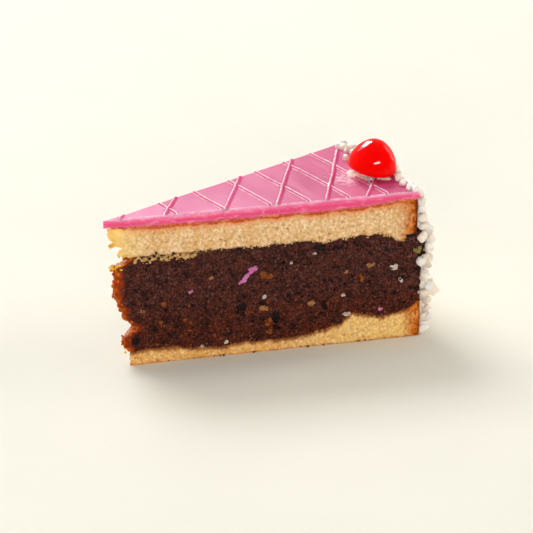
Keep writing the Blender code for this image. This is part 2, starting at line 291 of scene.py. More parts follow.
def closed_shell(rings: Array, first_pole: Array, last_pole: Array) -> tuple[Array, list[Array]]:
    """Close a stack of rings with a fan of triangles to a pole at each end.

    Args:
        rings: places, shape (rings, columns, 3).
        first_pole: the point that closes the first ring.
        last_pole: the point that closes the last ring.

    Returns:
        Vertices, and the blocks of faces.
    """
    count, columns, _ = rings.shape
    vertices = np.concatenate((rings.reshape(-1, 3), first_pole[None], last_pole[None]))
    here = np.arange(columns)
    beyond = (here + 1) % columns
    last = (count - 1) * columns
    pole = np.full(columns, count * columns)
    first_fan = np.stack((beyond, here, pole), axis=-1)
    last_fan = np.stack((last + here, last + beyond, pole + 1), axis=-1)
    return vertices, [ring_faces(count, columns), np.concatenate((first_fan, last_fan))]


def carried_section(places: Array) -> tuple[Array, list[Array]]:
    """Join copies of a closed section in a row, and shut both ends with one flat face each.

    Args:
        places: places, shape (copies, points, 3).

    Returns:
        Vertices, and the blocks of faces.
    """
    copies, points, _ = places.shape
    first = np.arange(points)[None]
    ends = [first[:, ::-1], first + (copies - 1) * points]
    return places.reshape(-1, 3), [ring_faces(copies, points), *ends]


def spun(radius: Array, height: Array, sides: int) -> Array:
    """Turn an outline round the upright axis: (r cos t, r sin t, h).

    Args:
        radius: radii down the outline.
        height: heights down the outline.
        sides: points in each ring.

    Returns:
        Places, shape (len(radius), sides, 3).
    """
    turn = 2 * np.pi * np.arange(sides) / sides
    radius, height, turn = np.broadcast_arrays(radius[:, None], height[:, None], turn)
    return np.stack((radius * np.cos(turn), radius * np.sin(turn), height), axis=-1)


@dataclass(frozen=True)
class Lumps:
    """Many small uneven lumps joined in one mesh.

    Each lump is a ball of rings and sides, chopped flat by a few random cuts, pushed in and out
    by smooth unevenness, stretched by its own sizes and turned.
    """

    rings: int = 6
    sides: int = 9
    unevenness: float = 0.22
    grain: float = 0.9
    cuts: int = 0
    depth: Span = (0.55, 0.92)
    seed: int = 1

    def ball(self) -> tuple[Array, list[Array]]:
        """Make one ball of radius 1: vertices at (sin a cos b, sin a sin b, cos a).

        Returns:
            Vertices, and the blocks of faces.
        """
        down = np.pi * np.arange(1, self.rings) / self.rings
        rings = spun(np.sin(down), np.cos(down), self.sides)
        return closed_shell(rings, np.array((0.0, 0.0, 1.0)), np.array((0.0, 0.0, -1.0)))

    def turns(self, count: int, generator: Generator) -> Array:
        """Draw random turns from unit spins (w, v): e + 2w v x e + 2 v x (v x e) for each axis e.

        Args:
            count: number of lumps.
            generator: draws the spins.

        Returns:
            Matrices, shape (count, 3, 3).
        """
        spin = generator.normal(size=(count, 4))
        spin /= np.linalg.norm(spin, axis=1, keepdims=True)
        way = spin[:, None, 1:]
        once = np.cross(way, np.eye(3))
        columns = np.eye(3) + 2 * spin[:, :1, None] * once + 2 * np.cross(way, once)
        return columns.swapaxes(1, 2)

    def chop(self, unit: Array, count: int, generator: Generator) -> Array:
        """Radius of each lump towards each vertex, cut off at flat faces d / (n . direction).

        Args:
            unit: the ball's vertices, shape (vertices, 3).
            count: number of lumps.
            generator: draws the cuts.

        Returns:
            Radii, shape (count, vertices).
        """
        radius = np.ones((count, len(unit)))
        for _ in range(self.cuts):
            normal = generator.normal(size=(count, 3))
            normal /= np.linalg.norm(normal, axis=1, keepdims=True)
            offset = generator.uniform(*self.depth, size=(count, 1))
            facing = np.maximum(normal @ unit.T, 1e-3)
            radius = np.minimum(radius, offset / facing)
        return radius

    def make(
        self, name: str, centres: Array, sizes: Array, frames: Array | None = None,
        floor: float = -1.0,
    ) -> Object:
        """Make the lumps at their places.

        Args:
            name: name of the piece.
            centres: middle of each lump, shape (count, 3).
            sizes: half lengths of each lump along its own three axes, shape (count, 3).
            frames: the lumps' own axes as matrices, or None for random turns.
            floor: height that no lump goes below.

        Returns:
            The joined piece, with a tone between 0 and 1 for each lump.
        """
        generator = np.random.default_rng(self.seed)
        count = len(centres)
        unit, faces = self.ball()
        turned = self.turns(count, generator) if frames is None else frames
        offset = generator.uniform(0, 90, size=(count, 1, 3))
        push = Grain.rough(unit[None] + offset, self.grain, 2, self.seed)
        radius = self.chop(unit, count, generator) * (1 + self.unevenness * push)
        shape = unit[None] * radius[..., None] * sizes[:, None, :]
        places = np.einsum("nij,nmj->nmi", turned, shape) + centres[:, None, :]
        places[..., 2] = np.maximum(places[..., 2], floor)
        shift = np.arange(count)[:, None, None] * len(unit)
        blocks = [(block[None] + shift).reshape(-1, block.shape[1]) for block in faces]
        tone = np.repeat(generator.uniform(0, 1, size=count), len(unit))
        return build_mesh(name, places.reshape(-1, 3), blocks, {"tone": tone})


# ---- shader building


class Wire:
    """A shader number or colour on a socket, which takes part in sums as a number does."""

    def __init__(self, finish: Finish, socket: bpy.types.NodeSocket) -> None:
        """Hold the finish that it belongs to, and its socket."""
        self.finish = finish
        self.socket = socket

    def sum(self, operation: str, other: Wire | float) -> Wire:
        """Add one Math node that works out this and other."""
        return self.finish.node("ShaderNodeMath", {"operation": operation}, {0: self, 1: other})

    __add__ = __radd__ = partialmethod(sum, "ADD")
    __mul__ = __rmul__ = partialmethod(sum, "MULTIPLY")
    __sub__ = partialmethod(sum, "SUBTRACT")

    def __rsub__(self, other: float) -> Wire:
        """Other minus this."""
        return self * -1.0 + other

    def rise(self, start: float, end: float) -> Wire:
        """Rise smoothly from 0 at start to 1 at end; start may be the larger."""
        inputs = {"Value": self, "From Min": start, "From Max": end}
        return self.finish.node("ShaderNodeMapRange", {"interpolation_type": "SMOOTHSTEP"}, inputs)


class Finish:
    """One procedural material: a Principled shader and the nodes that feed it."""

    def __init__(self, name: str) -> None:
        """Start an empty material with its shader and its Object coordinates.

        Args:
            name: name of the material.
        """
        self.material = bpy.data.materials.new(name)
        self.material.use_nodes = True
        self.tree = self.material.node_tree
        self.shader = self.tree.nodes["Principled BSDF"]
        self.place = self.node("ShaderNodeTexCoord", {}, {}, "Object")
        self.colour: Wire | Colour = EVEN

    def node(
        self, kind: str, settings: dict[str, object], inputs: dict[int | str, object],
        output: int | str = 0,
    ) -> Wire:
        """Add a node of any kind.

        Args:
            kind: the node's type.
            settings: its own settings, made first.
            inputs: values or wires for its sockets, by name or number.
            output: the socket that is handed back.

        Returns:
            The wire on that socket.
        """
        node = self.tree.nodes.new(kind)
        for label, value in settings.items():
            setattr(node, label, value)
        for label, value in inputs.items():
            self.feed(node.inputs[label], value)
        return Wire(self, node.outputs[output])

    def feed(self, socket: bpy.types.NodeSocket, value: object) -> None:
        """Link a wire to a socket, or set the socket to a number or a colour.

        Args:
            socket: the socket.
            value: a wire, a number, a vector or a colour without alpha.
        """
        if isinstance(value, Wire):
            self.tree.links.new(value.socket, socket)
        else:
            socket.default_value = (*value, 1.0) if socket.type == "RGBA" else value

    def surface(self, **values: object) -> None:
        """Feed or set the shader's own sockets, named with underscores for spaces."""
        for label, value in values.items():
            self.feed(self.shader.inputs[label.replace("_", " ")], value)

    def noise(
        self, size: float, detail: float = 2.0, rough: float = 0.5, stretch: Triple = EVEN,
        seed: float = 0.0,
    ) -> Wire:
        """Add smooth unevenness.

        Args:
            size: size of one lump, in metres.
            detail: how many finer layers it has.
            rough: strength of each layer against the last.
            stretch: scale along each axis, where below 1 draws the lumps out.
            seed: picks another pattern.

        Returns:
            Values between about 0.2 and 0.8.
        """
        place = self.place
        if stretch != EVEN:
            place = self.node("ShaderNodeMapping", {}, {"Vector": place, "Scale": stretch})
        inputs = {"Vector": place, "W": seed, "Scale": 1 / size}
        inputs |= {"Detail": detail, "Roughness": rough}
        return self.node("ShaderNodeTexNoise", {"noise_dimensions": "4D"}, inputs)

    def cells(self, size: float, seed: float = 0.0) -> Wire:
        """Distance to the nearest strewn point in cells of a size in metres."""
        inputs = {"Vector": self.place, "W": seed, "Scale": 1 / size}
        return self.node("ShaderNodeTexVoronoi", {"voronoi_dimensions": "4D"}, inputs, "Distance")

    def mark(self, name: str) -> Wire:
        """A number that the mesh carries per vertex."""
        return self.node("ShaderNodeAttribute", {"attribute_name": name}, {}, "Fac")

    def coordinate(self, axis: str) -> Wire:
        """Distance from the slice's origin along one axis, in metres."""
        return self.node("ShaderNodeSeparateXYZ", {}, {"Vector": self.place}, axis)

    def blend(
        self, share: Wire | float, under: Wire | Colour, over: Wire | Colour, kind: str = "MIX"
    ) -> Wire:
        """Mix two colours, where a share of 0 gives under and 1 gives over."""
        settings = {"data_type": "RGBA", "blend_type": kind}
        return self.node("ShaderNodeMix", settings, {0: share, 6: under, 7: over}, 2)

    def start(self, share: Wire, under: Colour, over: Colour) -> None:
        """Begin the surface's colour as a mix of two."""
        self.colour = self.blend(share, under, over)

    def tint(self, share: Wire | float, over: Wire | Colour, kind: str = "MIX") -> None:
        """Mix one more colour into the surface's by a share, which the node holds to 0 to 1."""
        self.colour = self.blend(share, self.colour, over, kind)

    def flesh(self, weight: float, scale: float, radius: Colour = (1.0, 0.2, 0.1)) -> None:
        """Let light into the surface: how much, how far in metres, and how far by colour."""
        self.surface(Subsurface_Weight=weight, Subsurface_Scale=scale, Subsurface_Radius=radius)

    def relief(self, height: Wire, depth: float, strength: float = 1.0) -> None:
        """Feed the shader's normal from fine relief of a depth in metres."""
        inputs = {"Strength": strength, "Distance": depth, "Height": height}
        self.surface(Normal=self.node("ShaderNodeBump", {}, inputs))


# ---- finishes


@dataclass(frozen=True)
class SpongeFinish:
    """Yellow sponge: fine pores, a browned rim and a stain of jam under the icing."""

    crumb: Colour = paint(231, 184, 124)
    pale: Colour = paint(248, 218, 172)
    painted_bounce_gold: Colour = paint(250, 183, 62)
    painted_bounce_light: Colour = paint(255, 212, 122)
    speck: Colour = paint(204, 146, 80)
    light: Colour = paint(255, 238, 198)
    pore: Colour = paint(176, 112, 52)
    brown: Colour = paint(140, 50, 4)
    golden: Colour = paint(216, 116, 22)
    crust: Colour = paint(108, 34, 2)
    stain: Colour = paint(230, 130, 66)
    line: Colour = paint(196, 66, 30)
    soak: Colour = paint(140, 66, 22)
    glow: Colour = paint(255, 224, 142)
    glow_orange: Colour = paint(255, 188, 56)

    def make(self) -> Material:
        """Build the material.

        Returns:
            The new material.
        """
        finish = Finish("sponge")
        soft = finish.noise(7 * MM, 3.0)
        fine = finish.noise(0.7 * MM, 3.0, 0.6)
        bubble = finish.cells(1.15 * MM, 1.0).rise(0.30, 0.75)
        grit = finish.noise(1.6 * MM, 3.0, 0.6, seed=9.0)
        mottle = finish.noise(1.0 * MM, seed=14.0)
        toasted = finish.noise(1.1 * MM, 3.0, 0.6, (1.0, 1.0, 0.7), 12.0).rise(0.46, 0.60)
        low = finish.coordinate("Z").rise(24 * MM, 12 * MM)
        inwards = finish.coordinate("X").rise(45 * MM, -10 * MM)
        glow, golden = finish.mark("glow"), finish.mark("golden")
        finish.start((soft * 0.4 + grit * 0.6).rise(0.40, 0.62), self.crumb, self.pale)
        for share, over in (
            # painted light: warm bounce light on the lower part, more orange towards the tip and
            # paler further out
            (low * (inwards * 0.45 + soft * 0.3), self.painted_bounce_gold),
            (low * (1.0 - inwards) * 0.9, self.painted_bounce_light),
            (mottle.rise(0.52, 0.68) * 0.62, self.speck),
            (mottle.rise(0.48, 0.34) * 0.55, self.light),
            # painted shade: pores painted darker brown, as the shade inside their holes
            (bubble * fine * 0.495, self.pore),
            (finish.mark("pit") * 0.8, self.pore),
            (finish.mark("stain") * (soft * 0.8 + 0.55), self.stain),
            (finish.mark("line") * (fine * 1.1 + 0.4), self.line),
            (finish.mark("soak") * (fine * 1.2 + 0.3), self.soak),
            (golden * (grit * 1.7 + 0.1), self.golden),
            (golden * toasted * 0.9, self.brown),
            (finish.mark("crust") * (fine * 0.9 + 0.6), self.crust),
            # painted light: glow of light through the thin torn tip, deepest orange at its very
            # edge
            (glow * (soft * 1.6 - 0.1), self.glow),
            (glow.rise(0.72, 1.0) * grit.rise(0.40, 0.60) * 0.5, self.glow_orange),
        ):
            finish.tint(share, over)
        finish.surface(Base_Color=finish.colour, Roughness=0.9, Specular_IOR_Level=0.08)
        finish.flesh(0.25, 0.002, (1.0, 0.6, 0.3))
        finish.relief(fine + bubble * -0.3, 0.2 * MM, 0.35)
        return finish.material


@dataclass(frozen=True)
class FillingFinish:
    """Moist dark filling of fine brown crumbs, with lighter grains and a painted glow at its thin
    edge.
    """

    deep: Colour = paint(32, 10, 6)
    brown: Colour = paint(94, 44, 32)
    pale: Colour = paint(140, 92, 84)
    ruddy: Colour = paint(110, 48, 20)
    fruit: Colour = paint(178, 96, 32)
    black: Colour = paint(14, 4, 3)
    tan: Colour = paint(196, 158, 100)
    grain: Colour = paint(164, 108, 62)
    amber: Colour = paint(178, 62, 2)
    gold: Colour = paint(252, 150, 22)
    soaked: Colour = (1.0, 0.74, 0.48)

    def make(self) -> Material:
        """Build the material.

        Returns:
            The new material.
        """
        finish = Finish("punch_filling")
        broad = finish.noise(5 * MM, 3.0, seed=1.0)
        crumb = finish.noise(2.6 * MM, 5.0, 0.68, seed=2.0)
        thread = finish.noise(1.3 * MM, 4.0, 0.62, seed=7.0)
        grit = finish.noise(0.7 * MM, seed=11.0)
        few = finish.noise(2.6 * MM, seed=5.0).rise(0.48, 0.62)
        fleck = finish.cells(1.25 * MM, 3.0).rise(0.38, 0.14)
        jelly = finish.cells(2.0 * MM, 6.0).rise(0.36, 0.14)
        dark = finish.cells(1.7 * MM, 4.0).rise(0.30, 0.12)
        grain = finish.cells(1.5 * MM, 9.0).rise(0.34, 0.14)
        low = finish.coordinate("Z").rise(27 * MM, 12 * MM)
        finish.start(crumb.rise(0.32, 0.68), self.deep, self.brown)
        for share, over in (
            (finish.mark("tone").rise(0.5, 1.0) * thread.rise(0.44, 0.66) * 0.6, self.pale),
            (broad.rise(0.48, 0.64) * (low * 0.35 + 0.1), self.ruddy),
            (grit.rise(0.51, 0.68) * 0.34, self.pale),
            (grit.rise(0.49, 0.34) * 0.60, self.deep),
            (fleck * few * 0.4, self.pale),
            (jelly * broad.rise(0.45, 0.6) * (low * 0.5 + 0.12), self.fruit),
            (dark * few * 0.8, self.black),
            # painted shade: gaps between crumbs and sunk holes painted black
            (finish.mark("pit") * 0.85, self.black),
        ):
            finish.tint(share, over)
        finish.tint(low * 0.9, self.soaked, "MULTIPLY")
        for share, over in (
            (grain * few * (low * 0.6 + 0.15), self.grain),
            (finish.mark("tan") * thread.rise(0.3, 0.5), self.tan),
            # painted light: amber and gold glow of light through the thin torn edge
            (finish.mark("amber") * (thread * 1.9 - 0.2), self.amber),
            (finish.mark("gold") * (crumb * 1.9 - 0.15), self.gold),
        ):
            finish.tint(share, over)
        rough = crumb.rise(0.3, 0.7) * 0.3 + 0.38
        finish.surface(Base_Color=finish.colour, Roughness=rough, Specular_IOR_Level=0.06)
        finish.flesh(0.10, 0.0012, (1.0, 0.35, 0.15))
        finish.relief(crumb + thread * 0.6, 0.5 * MM, 1.0)
        return finish.material


@dataclass(frozen=True)
class IcingFinish:
    """Pink poured icing: satin on top, deeper and clearer where the knife cut it."""

    name: str = "pink_icing"
    roughness: float = 0.33
    spread: float = 0.10
    gloss: float = 0.11
    sugar_sparkle: float = 0.6
    top: Colour = paint(216, 98, 148)
    bright: Colour = paint(226, 115, 161)
    deep: Colour = paint(206, 62, 119)
    low: Colour = paint(238, 68, 114)
    cut: Colour = paint(240, 103, 154)
    cut_light: Colour = paint(248, 150, 186)
    fleck: Colour = paint(252, 196, 214)
    smear: Colour = paint(246, 196, 214)

    def make(self) -> Material:
        """Build the material.

        Returns:
            The new material.
        """
        finish = Finish(self.name)
        broad = finish.noise(22 * MM)
        streaks = finish.noise(3.0 * MM, stretch=(1.0, 0.12, 1.0), seed=2.0)
        drag = finish.noise(1.6 * MM, 3.0, stretch=(0.35, 0.35, 1.0), seed=4.0)
        smudge = finish.noise(1.8 * MM, 3.0, 0.6, seed=6.0).rise(0.42, 0.62)
        sugar_sparkle = finish.cells(1.9 * MM, 8.0).rise(0.36, 0.10) * broad.rise(0.45, 0.6)
        outwards = finish.coordinate("X").rise(-42 * MM, 38 * MM)
        side = finish.blend(finish.mark("band") * (drag * 0.6 + 0.5), self.cut, self.low)
        side = finish.blend(drag.rise(0.5, 0.7) * 0.6, side, self.cut_light)
        # pale sugar flecks on the cut side: partly sugar, partly painted sparkle
        side = finish.blend(sugar_sparkle * self.sugar_sparkle, side, self.fleck)
        finish.start(broad.rise(0.35, 0.65), self.top, self.bright)
        for share, over in (
            (streaks.rise(0.5, 0.72) * 0.25, self.bright),
            # painted light: deeper pink away from the tip, in place of the sheen that is stronger
            # near the tip
            (outwards * 0.8, self.deep),
            # the cut faces take lighter colours than the face: partly the clearer icing of the
            # cut, partly painted light for the sides' weaker light
            (finish.mark("cut"), side),
            # painted highlight: the lip mark paints pale lines in the fleck colour, along the
            # shoulder, as sugar sparkle and as the threads' sheen
            (finish.mark("lip") * (smudge * 0.5 + 0.6), self.fleck),
            (finish.mark("smear") * smudge * 0.85, self.smear),
        ):
            finish.tint(share, over)
        rough = streaks.rise(0.35, 0.7) * self.spread + self.roughness
        finish.surface(Base_Color=finish.colour, Roughness=rough, Specular_IOR_Level=self.gloss)
        finish.flesh(0.35, 0.003, (1.0, 0.35, 0.5))
        finish.relief(streaks * 0.5 + broad, 1.2 * self.spread * MM, 0.5)
        return finish.material


@dataclass(frozen=True)
class PipedFinish(IcingFinish):
    """The threads' icing: its sheen is painted in fine pale lines, and its feet are plain pink."""

    name: str = "piped_icing"
    roughness: float = 0.50
    spread: float = 0.02
    gloss: float = 0.015
    sugar_sparkle: float = 0.0
    top: Colour = paint(226, 66, 120)
    bright: Colour = paint(235, 88, 138)
    deep: Colour = paint(218, 58, 114)
    # painted light: these colours paint the threads' far flank and foot a lighter pink
    cut: Colour = paint(226, 110, 156)
    cut_light: Colour = paint(226, 110, 156)
    fleck: Colour = paint(255, 248, 252)


@dataclass(frozen=True)
class JamFinish:
    """Red-orange jam that soaks into the brown top of the sponge."""

    red: Colour = paint(202, 62, 30)
    brown: Colour = paint(152, 62, 22)
    orange: Colour = paint(238, 136, 76)

    def make(self) -> Material:
        """Build the material.

        Returns:
            The new material.
        """
        finish = Finish("jam")
        patch = finish.noise(2.4 * MM, 3.0, 0.6)
        fine = finish.noise(0.8 * MM, 2.0, seed=3.0)
        finish.start(patch.rise(0.40, 0.62), self.red, self.orange)
        finish.tint(fine.rise(0.45, 0.65) * 0.7, self.brown)
        finish.surface(Base_Color=finish.colour, Roughness=0.42)
        finish.flesh(0.2, 0.0015)
        finish.relief(patch + fine * 0.5, 0.3 * MM, 0.8)
        return finish.material


@dataclass(frozen=True)
class NibFinish:
    """Off-white nut nibs, some with tan skin and painted warm shade, and the pale icing that holds
    them.
    """

    name: str = "nut_nibs"
    white: Colour = paint(243, 234, 225)
    cream: Colour = paint(238, 220, 200)
    tan: Colour = paint(222, 164, 108)
    tan_share: float = 0.4

    def make(self) -> Material:
        """Build the material.

        Returns:
            The new material.
        """
        finish = Finish(self.name)
        patch = finish.noise(3.0 * MM, 2.0)
        fine = finish.noise(0.8 * MM, 3.0, 0.6, seed=2.0)
        tone = finish.mark("tone")
        finish.start(tone.rise(0.2, 0.9), self.white, self.cream)
        # tan patches: partly the nibs' skin, partly painted warm shade
        finish.tint(patch.rise(0.56, 0.68) * tone.rise(0.55, 0.9) * self.tan_share, self.tan)
        rough = fine.rise(0.3, 0.7) * 0.2 + 0.42
        finish.surface(Base_Color=finish.colour, Roughness=rough, Specular_IOR_Level=0.2)
        finish.flesh(0.35, 0.0025, (1.0, 0.92, 0.84))
        finish.relief(fine, 0.08 * MM, 0.6)
        return finish.material


@dataclass(frozen=True)
class CherryFinish:
    """Clear red sugared fruit with a wet gloss."""

    red: Colour = (1.0, 0.0015, 0.001)
    deep: Colour = (0.82, 0.0, 0.0)

    def make(self) -> Material:
        """Build the material.

        Returns:
            The new material.
        """
        finish = Finish("cherry_red")
        cloud = finish.noise(6 * MM, 2.0)
        dimple = finish.noise(2.4 * MM, 2.0, seed=3.0)
        finish.start(cloud.rise(0.35, 0.7) * 0.6, self.red, self.deep)
        finish.surface(Base_Color=finish.colour, Roughness=0.05, Specular_IOR_Level=0.10)
        finish.flesh(0.8, 0.008, (1.0, 0.03, 0.02))
        finish.relief(dimple, 0.05 * MM, 0.3)
        return finish.material


@dataclass(frozen=True)
class MottledFinish:
    """Two colours in soft patches: cream, crumbs, or bits of fruit, nut and cake.

    The last five fields are the gloss, the size of a patch, the levels at which the second
    colour starts and is full, its share there, and the depth of the relief.
    """

    name: str
    main: Colour
    second: Colour
    roughness: float = 0.45
    see_through: float = 0.2
    gloss: float = 0.08
    patch: float = 1.1 * MM
    levels: Span = (0.40, 0.65)
    share: float = 0.7
    depth: float = 0.2 * MM

    def make(self) -> Material:
        """Build the material.

        Returns:
            The new material.
        """
        finish = Finish(self.name)
        patch = finish.noise(self.patch, 3.0, 0.6)
        share = patch.rise(*self.levels) * self.share + finish.mark("tone") * 0.3
        finish.start(share, self.main, self.second)
        finish.surface(Base_Color=finish.colour, Roughness=self.roughness)
        finish.surface(Specular_IOR_Level=self.gloss)
        finish.flesh(self.see_through, 0.0015)
        finish.relief(patch, self.depth, 0.7)
        return finish.material


# the cream's second, darker tan in soft patches is partly its own tone and partly painted shade
CREAM_FINISH = MottledFinish(
    "cream", paint(244, 238, 230), paint(224, 200, 172), 0.55, 0.3, gloss=0.12, patch=1.6 * MM,
    levels=(0.42, 0.62), share=0.8, depth=0.25 * MM,
)


@dataclass(frozen=True)
class FloorFinish:
    """Matt cream-white paper."""

    tint: Colour = paint(236, 233, 220)

    def make(self) -> Material:
        """Build the material.

        Returns:
            The new material.
        """
        finish = Finish("floor_paper")
        fibre = finish.noise(60 * MM, 3.0)
        lighter = tuple(min(1.0, channel * 1.02) for channel in self.tint)
        finish.start(fibre.rise(0.3, 0.7), self.tint, lighter)
        finish.surface(Base_Color=finish.colour, Roughness=0.9, Specular_IOR_Level=0.1)
        return finish.material


# ---- the slice's own frame


class SliceFrame:
    """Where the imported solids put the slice, and the curves that its layers share."""

    # (radius, height) in mm along the slice, as the knife shows them
    underside = (
        (14, 44.7), (32, 44.5), (46, 44.7), (55, 44.4), (68, 44.4), (79, 44.3), (86, 43.1),
        (96, 44.2), (108, 44.3), (113, 43.5), (117.6, 41.2), (121, 42.1), (125, 44.2),
    )
    floor_top = (
        (12, 5.6), (24, 6.1), (36, 4.7), (43, 4.2), (56, 5.0), (72, 4.4), (80, 5.1), (87, 6.6),
        (92, 8.2), (99.5, 12.2), (106, 10.8), (113, 10.0), (119, 11.4), (127, 15.0),
    )

    def __init__(self) -> None:
        """Read the places of the solids that the looks build on."""
        sheet_low, sheet_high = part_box("icing_sheet")
        cherry_low, cherry_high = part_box("glace_cherry")
        self.tip_x = sheet_low.x - ICING_TIP * math.cos(HALF_ANGLE)
        self.top = sheet_high.z - 1.15 * MM
        self.cherry_middle = (np.array(cherry_low) + np.array(cherry_high)) / 2
        self.filling_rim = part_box("punch_filling")[1].x - self.tip_x
        self.sponge_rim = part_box("upper_sponge")[1].x - self.tip_x
        LOG.info("tip at x %.2f mm, icing top at %.2f mm", self.tip_x / MM, self.top / MM)

    def seat(self, r: Array, angle: Array, z: Array) -> Array:
        """Place cake coordinates: (r cos a + tip, r sin a, z), shape (..., 3)."""
        r, angle, z = np.broadcast_arrays(r, angle, z)
        return np.stack((r * np.cos(angle) + self.tip_x, r * np.sin(angle), z), axis=-1)

    def polar(self, x: Array, y: Array) -> tuple[Array, Array]:
        """Read radius and angle from level places, the other way round from seat."""
        return np.hypot(x - self.tip_x, y), np.arctan2(y, x - self.tip_x)

    def on_cut(self, along: Array, z: Array, out: Array, side: int = -1) -> Array:
        """Place a point on a cut face.

        Args:
            along: distance along the face from the tip.
            z: height.
            out: distance out of the face.
            side: -1 for the near cut and 1 for the far one.

        Returns:
            Places, shape (..., 3).
        """
        angle = side * HALF_ANGLE
        x = along * math.cos(angle) - out * math.sin(HALF_ANGLE)
        y = along * math.sin(angle) + out * side * math.cos(HALF_ANGLE)
        return np.stack((x + self.tip_x, y, z), axis=-1)

    def waves(self, r: Array, angle: Array, size: float, seed: int) -> Array:
        """Level unevenness between -1 and 1, with lumps of a size in mm."""
        return Grain.smooth(self.seat(r, angle, 0.0), size * MM, seed)

    def ragged(self, r: Array, angle: Array, seed: int) -> Array:
        """Small ups and downs of a torn edge between two layers, in metres."""
        fine = self.waves(r, angle, 1.1, seed)
        return 0.50 * MM * self.waves(r, angle, 3.0, seed + 7) + 0.34 * MM * fine

    def upper_underside(self, r: Array, angle: Array) -> Array:
        """Height where the upper sponge meets the filling."""
        away = 0.6 * MM * self.waves(r, angle, 24, 5) * (1 + angle / HALF_ANGLE)
        return eased_curve(r / MM, self.underside) * MM + self.ragged(r, angle, 11) + away

    def filling_top(self, r: Array, angle: Array) -> Array:
        """Height of the filling's top, which has come away from the sponge here and there.

        Args:
            r: radius.
            angle: angle.

        Returns:
            The height.
        """
        torn = ease(self.waves(r, angle, 3.4, 15), -0.1, 0.5)
        torn = torn * (0.3 + 0.7 * bell(r, 24 * MM, 26 * MM))
        slot = bell(r, 25 * MM, 10 * MM) * (1.3 + 0.4 * self.waves(r, angle, 1.6, 16))
        return self.upper_underside(r, angle) - (0.06 + 0.75 * torn + slot) * MM

    def lower_top(self, r: Array, angle: Array) -> Array:
        """Height where the filling meets the lower sponge."""
        away = 0.9 * MM * self.waves(r, angle, 26, 6) * (1 + angle / HALF_ANGLE)
        return eased_curve(r / MM, self.floor_top) * MM + 0.8 * self.ragged(r, angle, 23) + away

    def icing_top(self, r: Array, angle: Array) -> Array:
        """Height of the icing's face away from its edges, with the waves of pouring."""
        broad = self.top + 0.22 * MM * self.waves(r, angle, 30, 2)
        return broad + 0.05 * MM * self.waves(r, angle, 6, 3)

    def icing_underside(self, r: Array, angle: Array) -> Array:
        """Height of the icing's underside, lowest two thirds of the way out.

        Args:
            r: radius.
            angle: angle.

        Returns:
            The height.
        """
        sag = 0.9 * MM * np.sin(np.pi * np.clip(r / (132 * MM), 0, 1) ** 1.3)
        wave = 0.25 * MM * self.waves(r, angle, 9, 4)
        return self.top - 3.4 * MM - sag + wave + 0.9 * MM * ease(r, 104 * MM, 122 * MM)

    def bulge(self, z: Array) -> Array:
        """How far the filling is pressed out of the round side at a height."""
        return 1.9 * MM * bell(z, 39.5 * MM, 5.0 * MM)

    def sponge_top(self, r: Array, angle: Array) -> Array:
        """Height of the upper sponge's top, where the jam begins."""
        soak = 0.35 * self.waves(r, angle, 3.2, 31) + 0.2 * self.waves(r, angle, 1.2, 32)
        return self.icing_underside(r, angle) + (soak - 0.75) * MM


# ---- layers

# (height, radius) in mm of the torn tip of each layer
LOWER_TIP = ((0, 9.7), (5, 9.9))
FILLING_TIP = (
    (4.2, 12.8), (6, 9.6), (8, 7.4), (11, 7.3), (13, 9.6), (15.2, 12.0), (17.5, 9.6), (20, 7.6),
    (25, 5.6), (30, 3.8), (35, 4.1), (38, 4.4), (40.4, 3.4), (42, 7.2), (43.8, 10.8),
)
UPPER_TIP = (
    (43.6, 10.6), (45.2, 9.2), (46.3, 5.6), (47.6, 7.8), (48.8, 7.4), (50.2, 3.2),
    (51.4, 3.6), (53, 2.0), (57, 1.7),
)
JAM_TIP = ((55, 3.2), (58, 3.0))


